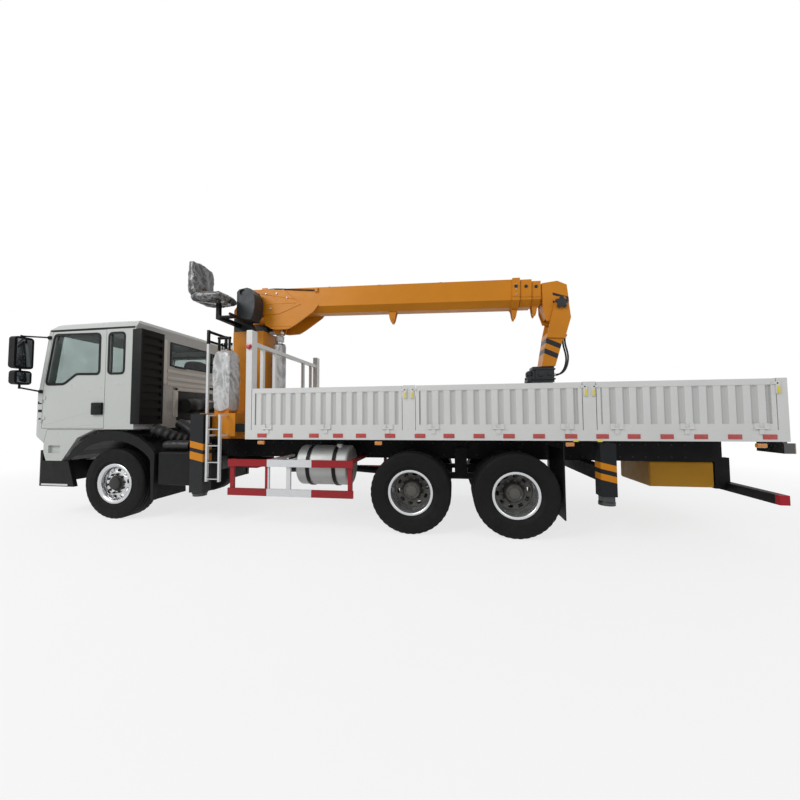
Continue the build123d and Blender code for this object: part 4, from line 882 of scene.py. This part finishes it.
ropeLine = boomLine(0.0, (0.35, 0.445), (1.55, 0.491), (2.45, 0.491), (3.5, 0.491), (4.72, 0.452))
tubeCurve("winchRope", ropeLine, 0.006, "ropeSteel", "boom_base")
bm = bmesh.new()  # bolts on the boom root and its collar
for side in (-1, 1):
    for u, v in ((0.25, 0.33), (0.45, 0.33), (0.65, 0.33), (0.85, 0.25), (0.55, 0.06), (0.3, 0.02)):
        addNut(bm, boomPoint(u, v, side * 0.229), (0, side, 0), 0.016, 0.012)
    for v in (0.18, 0.26, 0.34):
        addNut(bm, boomPoint(4.69, v, side * 0.217), (0, side, 0), 0.012, 0.008)
dress("boomBolts", bm, "nutSteel", "boom_base")
slewLook = {"bolts": 28, "ring": 0.402, "station": 1.66, "z": 1.6505}
bm = bmesh.new()  # ring of bolts round the slewing seat
for c, s in circle(slewLook["bolts"]):
    point = Vector((at(slewLook["station"]) + slewLook["ring"] * c, slewLook["ring"] * s, slewLook["z"]))
    addDrum(bm, point, point + Vector((0, 0, 0.016)), 0.011, 6, 0.001)
dress("slewBolts", bm, "nutSteel", "chassis")
bm = bmesh.new()  # dark star bosses at the jib pin
for side in (-1, 1):
    centre = Vector((at(6.847), side * 0.217, 3.292))
    addDrum(bm, centre, centre + outward(side, 0.014), 0.07, 32, 0.004)
    for c, s in circle(5, 0.3):
        spot = centre + Vector((0.07 * c, 0, 0.07 * s))
        addDrum(bm, spot, spot + outward(side, 0.012), 0.032, 20, 0.004)
        addNut(bm, spot + outward(side, 0.011), (0, side, 0), 0.012, 0.007)
dress("jibBosses", bm, "craneGrey", "jib")


def hangLug(bm, u, top, drop, half):
    # a pair of drilled ears with a pin between them
    waist, foot = top - drop * 0.7, top - drop
    for side in (-1, 1):
        outline = boomLine(side * 0.055, (u - half, top), (u + half, top), (u + half * 0.6, waist),
                           (u + half * 0.25, foot), (u - half * 0.25, foot), (u - half * 0.6, waist))
        addSlab(bm, outline, outward(side, 0.018))
    pin = top - drop * 0.72
    addDrum(bm, boomPoint(u, pin, -0.085), boomPoint(u, pin, 0.085), 0.018, 18, 0.003)


def collarKit(bm, dark, u, v, y, low, high):
    # slide adjusters and a pressed ledge on a section's collar
    for side in (-1, 1):
        spot = boomPoint(u, v, side * y)
        addDrum(dark, spot, spot + outward(side, 0.012), 0.026, 20, 0.003)
        addNut(dark, spot + outward(side, 0.011), (0, side, 0), 0.014, 0.007)
        outline = boomLine(side * (y - 0.002), (low, v - 0.15), (high, v - 0.15), (high, v - 0.168), (low, v - 0.168))
        addSlab(bm, outline, outward(side, 0.01))


# for each section: the name's end, the collar kit and the lugs that hang from it
collarLook = {
    "boom_base": ("Root", (4.69, 0.31, 0.218, 4.64, 4.745), ((2.69, 0.01, 0.19, 0.07), (4.69, -0.005, 0.17, 0.05))),
    "boom_2": ("Second", (4.845, 0.31, 0.194, 4.77, 4.925), ()),
    "boom_3": ("Third", (5.0, 0.31, 0.172, 4.945, 5.065), ((5.0, 0.04, 0.17, 0.045),)),
}
for node, (label, collar, lugs) in collarLook.items():
    ledges = bmesh.new()
    dark = bmesh.new()
    collarKit(ledges, dark, *collar)
    for lug in lugs:
        hangLug(ledges, *lug)
    dress("collarLedges" + label, ledges, "craneOrange", node)
    dress("collarBolts" + label, dark, "hubIron", node)

pipeLine = [boomPoint(0.36, 0.44, -0.12), boomPoint(0.5, 0.436, -0.19), boomPoint(0.8, 0.412, -0.216),
            boomPoint(1.36, 0.372, -0.214)]
tubeCurve("boomPipe", pipeLine, 0.011, "hoseBlack", "boom_base", smoothLine=True)
bm = bmesh.new()  # rope lug on the boom root and the pipe's clip
for side in (-1, 1):
    ear = boomLine(side * 0.05, (0.24, 0.41), (0.40, 0.41), (0.37, 0.505), (0.27, 0.505))
    addSlab(bm, ear, outward(side, 0.016))
addDrum(bm, boomPoint(0.32, 0.475, -0.07), boomPoint(0.32, 0.475, 0.07), 0.028, 20, 0.003)
clip = boomLine(-0.199, (1.35, 0.345), (1.40, 0.345), (1.40, 0.415), (1.35, 0.415))
addSlab(bm, clip, (0, -0.03, 0))
dress("rootLug", bm, "craneOrange", "boom_base")
# stiffening ribs folded on the boom root's cheeks: distance out, then both ends
cheekLook = ((0.2285, (0.15, 0.375), (0.98, 0.225)), (0.2285, (0.12, 0.145), (1.02, 0.155)),
             (0.2205, (0.52, -0.24), (0.93, -0.255)))
bm = bmesh.new()
for side in (-1, 1):
    for reach, first, last in cheekLook:
        addDrum(bm, *boomLine(side * reach, first, last), 0.007, 10, 0.002)
dress("rootRibs", bm, "craneOrange", "boom_base")

hoseGap = 0.05  # each tool hose from the middle
bm = bmesh.new()  # hose unions on the drive block
for y in (-hoseGap, hoseGap):
    addDrum(bm, (at(6.738), y, 2.19), (at(6.775), y, 2.19), 0.024, 6, 0.002)
    addDrum(bm, (at(6.925), y, 2.792), (at(6.925), y, 2.755), 0.024, 6, 0.002)
for z in (2.12, 2.27):
    for y in (-0.1, 0.1):
        addDrum(bm, (at(6.738), y, z), (at(6.752), y, z), 0.014, 6, 0.001)
dress("driveUnions", bm, "nutSteel", "jib")

hoseRoute = [(6.925, 2.7897), (6.925, 2.690), (6.950, 2.590), (6.970, 2.490), (6.965, 2.390), (6.935, 2.290),
             (6.885, 2.222), (6.810, 2.190), (6.7403, 2.190)]
for label, y in (("Left", -hoseGap), ("Right", hoseGap)):
    tubeCurve("toolHose" + label, sideLine(hoseRoute, y), 0.014, "hoseBlack", "jib",
                           smoothLine=True)
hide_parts("tool_hoses")

filmLook = {"wrinkle": 0.016, "fine": 0.007, "sleeveWave": 0.006, "sleeveFine": 0.003, "station": 2.08}


def crumple(piece):
    for v in piece.data.vertices:
        p = v.co
        wave = noise.noise(p * 9.0) * filmLook["wrinkle"] + noise.noise(p * 27.0) * filmLook["fine"]
        v.co = p + v.normal * wave


def filmSleeve(name, outline, segments, body):
    # film wound round the lift cylinder, tight at both ends
    def wrinkles(step, index, angle):
        if index in (0, len(outline) - 1):
            return 0.0
        spot = Vector((math.cos(angle) * 0.9, math.sin(angle) * 0.9, outline[index][1] * 2.2))
        return filmLook["sleeveWave"] * noise.noise(spot * 2.1) + filmLook["sleeveFine"] * noise.noise(spot * 6.0)
    bm = bmesh.new()
    turnedMesh(bm, (at(filmLook["station"]), 0, 0), outline, segments, "Z", wrinkles)
    dress(name, bm, "filmPale", body)


seatBack = makePad("seatFilmBack", (at(1.055), -1.045, 3.47), (at(1.205), -0.575, 4.035), "filmDark", "column",
                   ((2, 0.1, 0.05),))
seatPan = makePad("seatFilmPan", (at(1.10), -1.045, 3.385), (at(1.640), -0.575, 3.525), "filmDark", "column",
                  ((0, 0.2, 0.05),))
crumple(seatBack)
crumple(seatPan)
barrelLine = [(0.101, 1.99), (0.108, 2.0)] + [(0.111, 2.02 + 0.02 * i) for i in range(40)]
filmSleeve("cylinderFilm", barrelLine + [(0.108, 2.83), (0.101, 2.845)], 56, "luff_barrel")
filmSleeve("rodFilm", [(0.0605, 2.90), (0.072, 2.905), (0.077, 2.92), (0.076, 2.95), (0.079, 2.98), (0.075, 3.005),
                       (0.0605, 3.012)], 48, "luff_rod")
stand = makePad("standFilm", (at(1.462), -0.962, 1.608), (at(1.780), -0.668, 2.615), "filmPale", "chassis",
                ((2, 0.45, 0.06), (2, -0.2, 0.05)))
crumple(stand)
bm = bmesh.new()  # control levers and the black hand hoop over the stand
for index in range(5):
    x = at(1.535 + index * 0.042)
    addDrum(bm, (x, -0.80, 2.56), (x, -0.815, 2.70), 0.007, 10, 0.002)
    addDrum(bm, (x, -0.815, 2.695), (x, -0.818, 2.735), 0.014, 14, 0.005)
for x in (1.53, 1.71):
    addDrum(bm, (at(x), -0.88, 2.60), (at(x), -0.88, 2.80), 0.02, 16, 0.003)
addDrum(bm, (at(1.512), -0.88, 2.80), (at(1.728), -0.88, 2.80), 0.022, 16, 0.004)
dress("standLevers", bm, "trimBlack", "chassis")
driveLook = {"flanges": ((2.106, 2.126), (2.262, 2.282)), "boltAt": (6.43, 6.50, 6.57, 6.64, 6.71), "motor": 0.062,
             "middle": 2.195}
middle = driveLook["middle"]
bm = bmesh.new()  # tool drive: flanges, bolts, motor drum and its guard
for low, high in driveLook["flanges"]:
    addBox(bm, (at(6.402), -0.160, low), (at(6.748), 0.160, high), 0.005)
    for x in driveLook["boltAt"]:
        for side in (-1, 1):
            addNut(bm, (at(x), side * 0.1475, high), (0, 0, 1), 0.011, 0.010)
addDrum(bm, (at(6.418), -0.03, middle), (at(6.345), -0.03, middle), driveLook["motor"], 28, 0.008)
addDrum(bm, (at(6.348), -0.03, middle), (at(6.330), -0.03, middle), 0.044, 20, 0.004)
for side in (-1, 1):
    addBox(bm, (at(6.340), side * 0.118 - 0.006, 2.080), (at(6.420), side * 0.118 + 0.006, 2.165), 0.003)
    for x, radius, segments in ((6.530, 0.040, 24), (6.660, 0.028, 20)):
        addDrum(bm, (at(x), side * 0.165, middle), (at(x), side * 0.148, middle), radius, segments, 0.004)
addBox(bm, (at(6.335), -0.124, 2.080), (at(6.347), 0.124, 2.120), 0.003)
dress("driveKit", bm, "craneGrey", "jib")
print("stage: crane dressed")


# floor, light and camera
stageLook = {"floor": (0.84, 0.84, 0.835), "floorSize": 60.0, "floorWhite": 0.74, "fadeFrom": 16.0, "fadeTo": 150.0,
             "sky": 0.46, "skyTone": (0.95, 0.97, 1.0, 1.0), "key": 760.0, "keySpot": (-7.0, -9.0, 9.0),
             "fill": 110.0, "fillSpot": (9.0, -6.0, 6.0), "aim": (0, 0, 1.5), "lampSize": 6.0}
bm = bmesh.new()
bmesh.ops.create_grid(bm, x_segments=1, y_segments=1, size=stageLook["floorSize"])
floorMesh = bpy.data.meshes.new("paleFloor")
bm.to_mesh(floorMesh)
bm.free()
floor = bpy.data.objects.new("paleFloor", floorMesh)
scene.collection.objects.link(floor)
floorMat = finish("floorPale", dict(tone=stageLook["floor"], vary=0.01, rough=0.8, grain=0.02))
floorMesh.materials.append(floorMat)


def seenRay():
    path = newNode("LightPath").outputs
    seen = mathNode("MAXIMUM", path["Is Camera Ray"], path["Is Glossy Ray"])
    return mathNode("MAXIMUM", seen, path["Is Transmission Ray"])


def mixInto(factor, first, second, outlet):
    mix = newNode("MixShader")
    for socket, source in zip(mix.inputs, (factor, first.outputs[0], second.outputs[0])):
        link(source, socket)
    link(mix.outputs[0], tree.nodes[outlet].inputs["Surface"])


tree = floorMat.node_tree  # the floor runs out to white and keeps a shadow
glow = newNode("Emission")
x, reach, z = positionParts()
fade = newNode("MapRange")
link(mathNode("ADD", times(x, x), times(reach, reach)), fade.inputs["Value"])
setInputs(fade, {"From Min": stageLook["fadeFrom"], "From Max": stageLook["fadeTo"],
                 "To Min": stageLook["floorWhite"], "To Max": 1.0})
shown = times(seenRay(), fade.outputs["Result"])
mixInto(shown, tree.nodes["Principled BSDF"], glow, "Material Output")

world = bpy.data.worlds.new("softSky")
scene.world = world
world.use_nodes = True
tree = world.node_tree
sky = tree.nodes["Background"]
setInputs(sky, {"Color": stageLook["skyTone"], "Strength": stageLook["sky"]})
backdrop = newNode("Background")
setInputs(backdrop, {"Color": (1.0, 1.0, 1.0, 1.0), "Strength": 1.0})
mixInto(seenRay(), sky, backdrop, "World Output")


def addLamp(name, spot, power):
    data = bpy.data.lights.new(name, "AREA")
    data.shape = "SQUARE"
    data.size = stageLook["lampSize"]
    data.energy = power
    lamp = bpy.data.objects.new(name, data)
    lamp.location = spot
    lamp.rotation_euler = (Vector(stageLook["aim"]) - Vector(spot)).to_track_quat("-Z", "Y").to_euler()
    scene.collection.objects.link(lamp)


addLamp("keyLamp", stageLook["keySpot"], stageLook["key"])
addLamp("fillLamp", stageLook["fillSpot"], stageLook["fill"])

cameraSet = {"spot": (5.1882 + axleX, -5.7579, 1.5424), "yaw": -0.1562, "pitch": 0.0487, "roll": -0.0059,
             "lens": 15.46, "sensor": 36.0, "far": 300.0}
cameraData = bpy.data.cameras.new("photoCamera")
cameraData.lens = cameraSet["lens"]
cameraData.sensor_width = cameraSet["sensor"]
cameraData.clip_end = cameraSet["far"]
camera = bpy.data.objects.new("photoCamera", cameraData)
scene.collection.objects.link(camera)
turn = Matrix.Rotation(-cameraSet["yaw"], 4, "Z") @ Matrix.Rotation(math.pi / 2 + cameraSet["pitch"], 4, "X")
turn = turn @ Matrix.Rotation(cameraSet["roll"], 4, "Z")
camera.matrix_world = Matrix.Translation(cameraSet["spot"]) @ turn
scene.camera = camera
scene.view_settings.view_transform = "Standard"
print("stage: camera set")

print("stage: done")
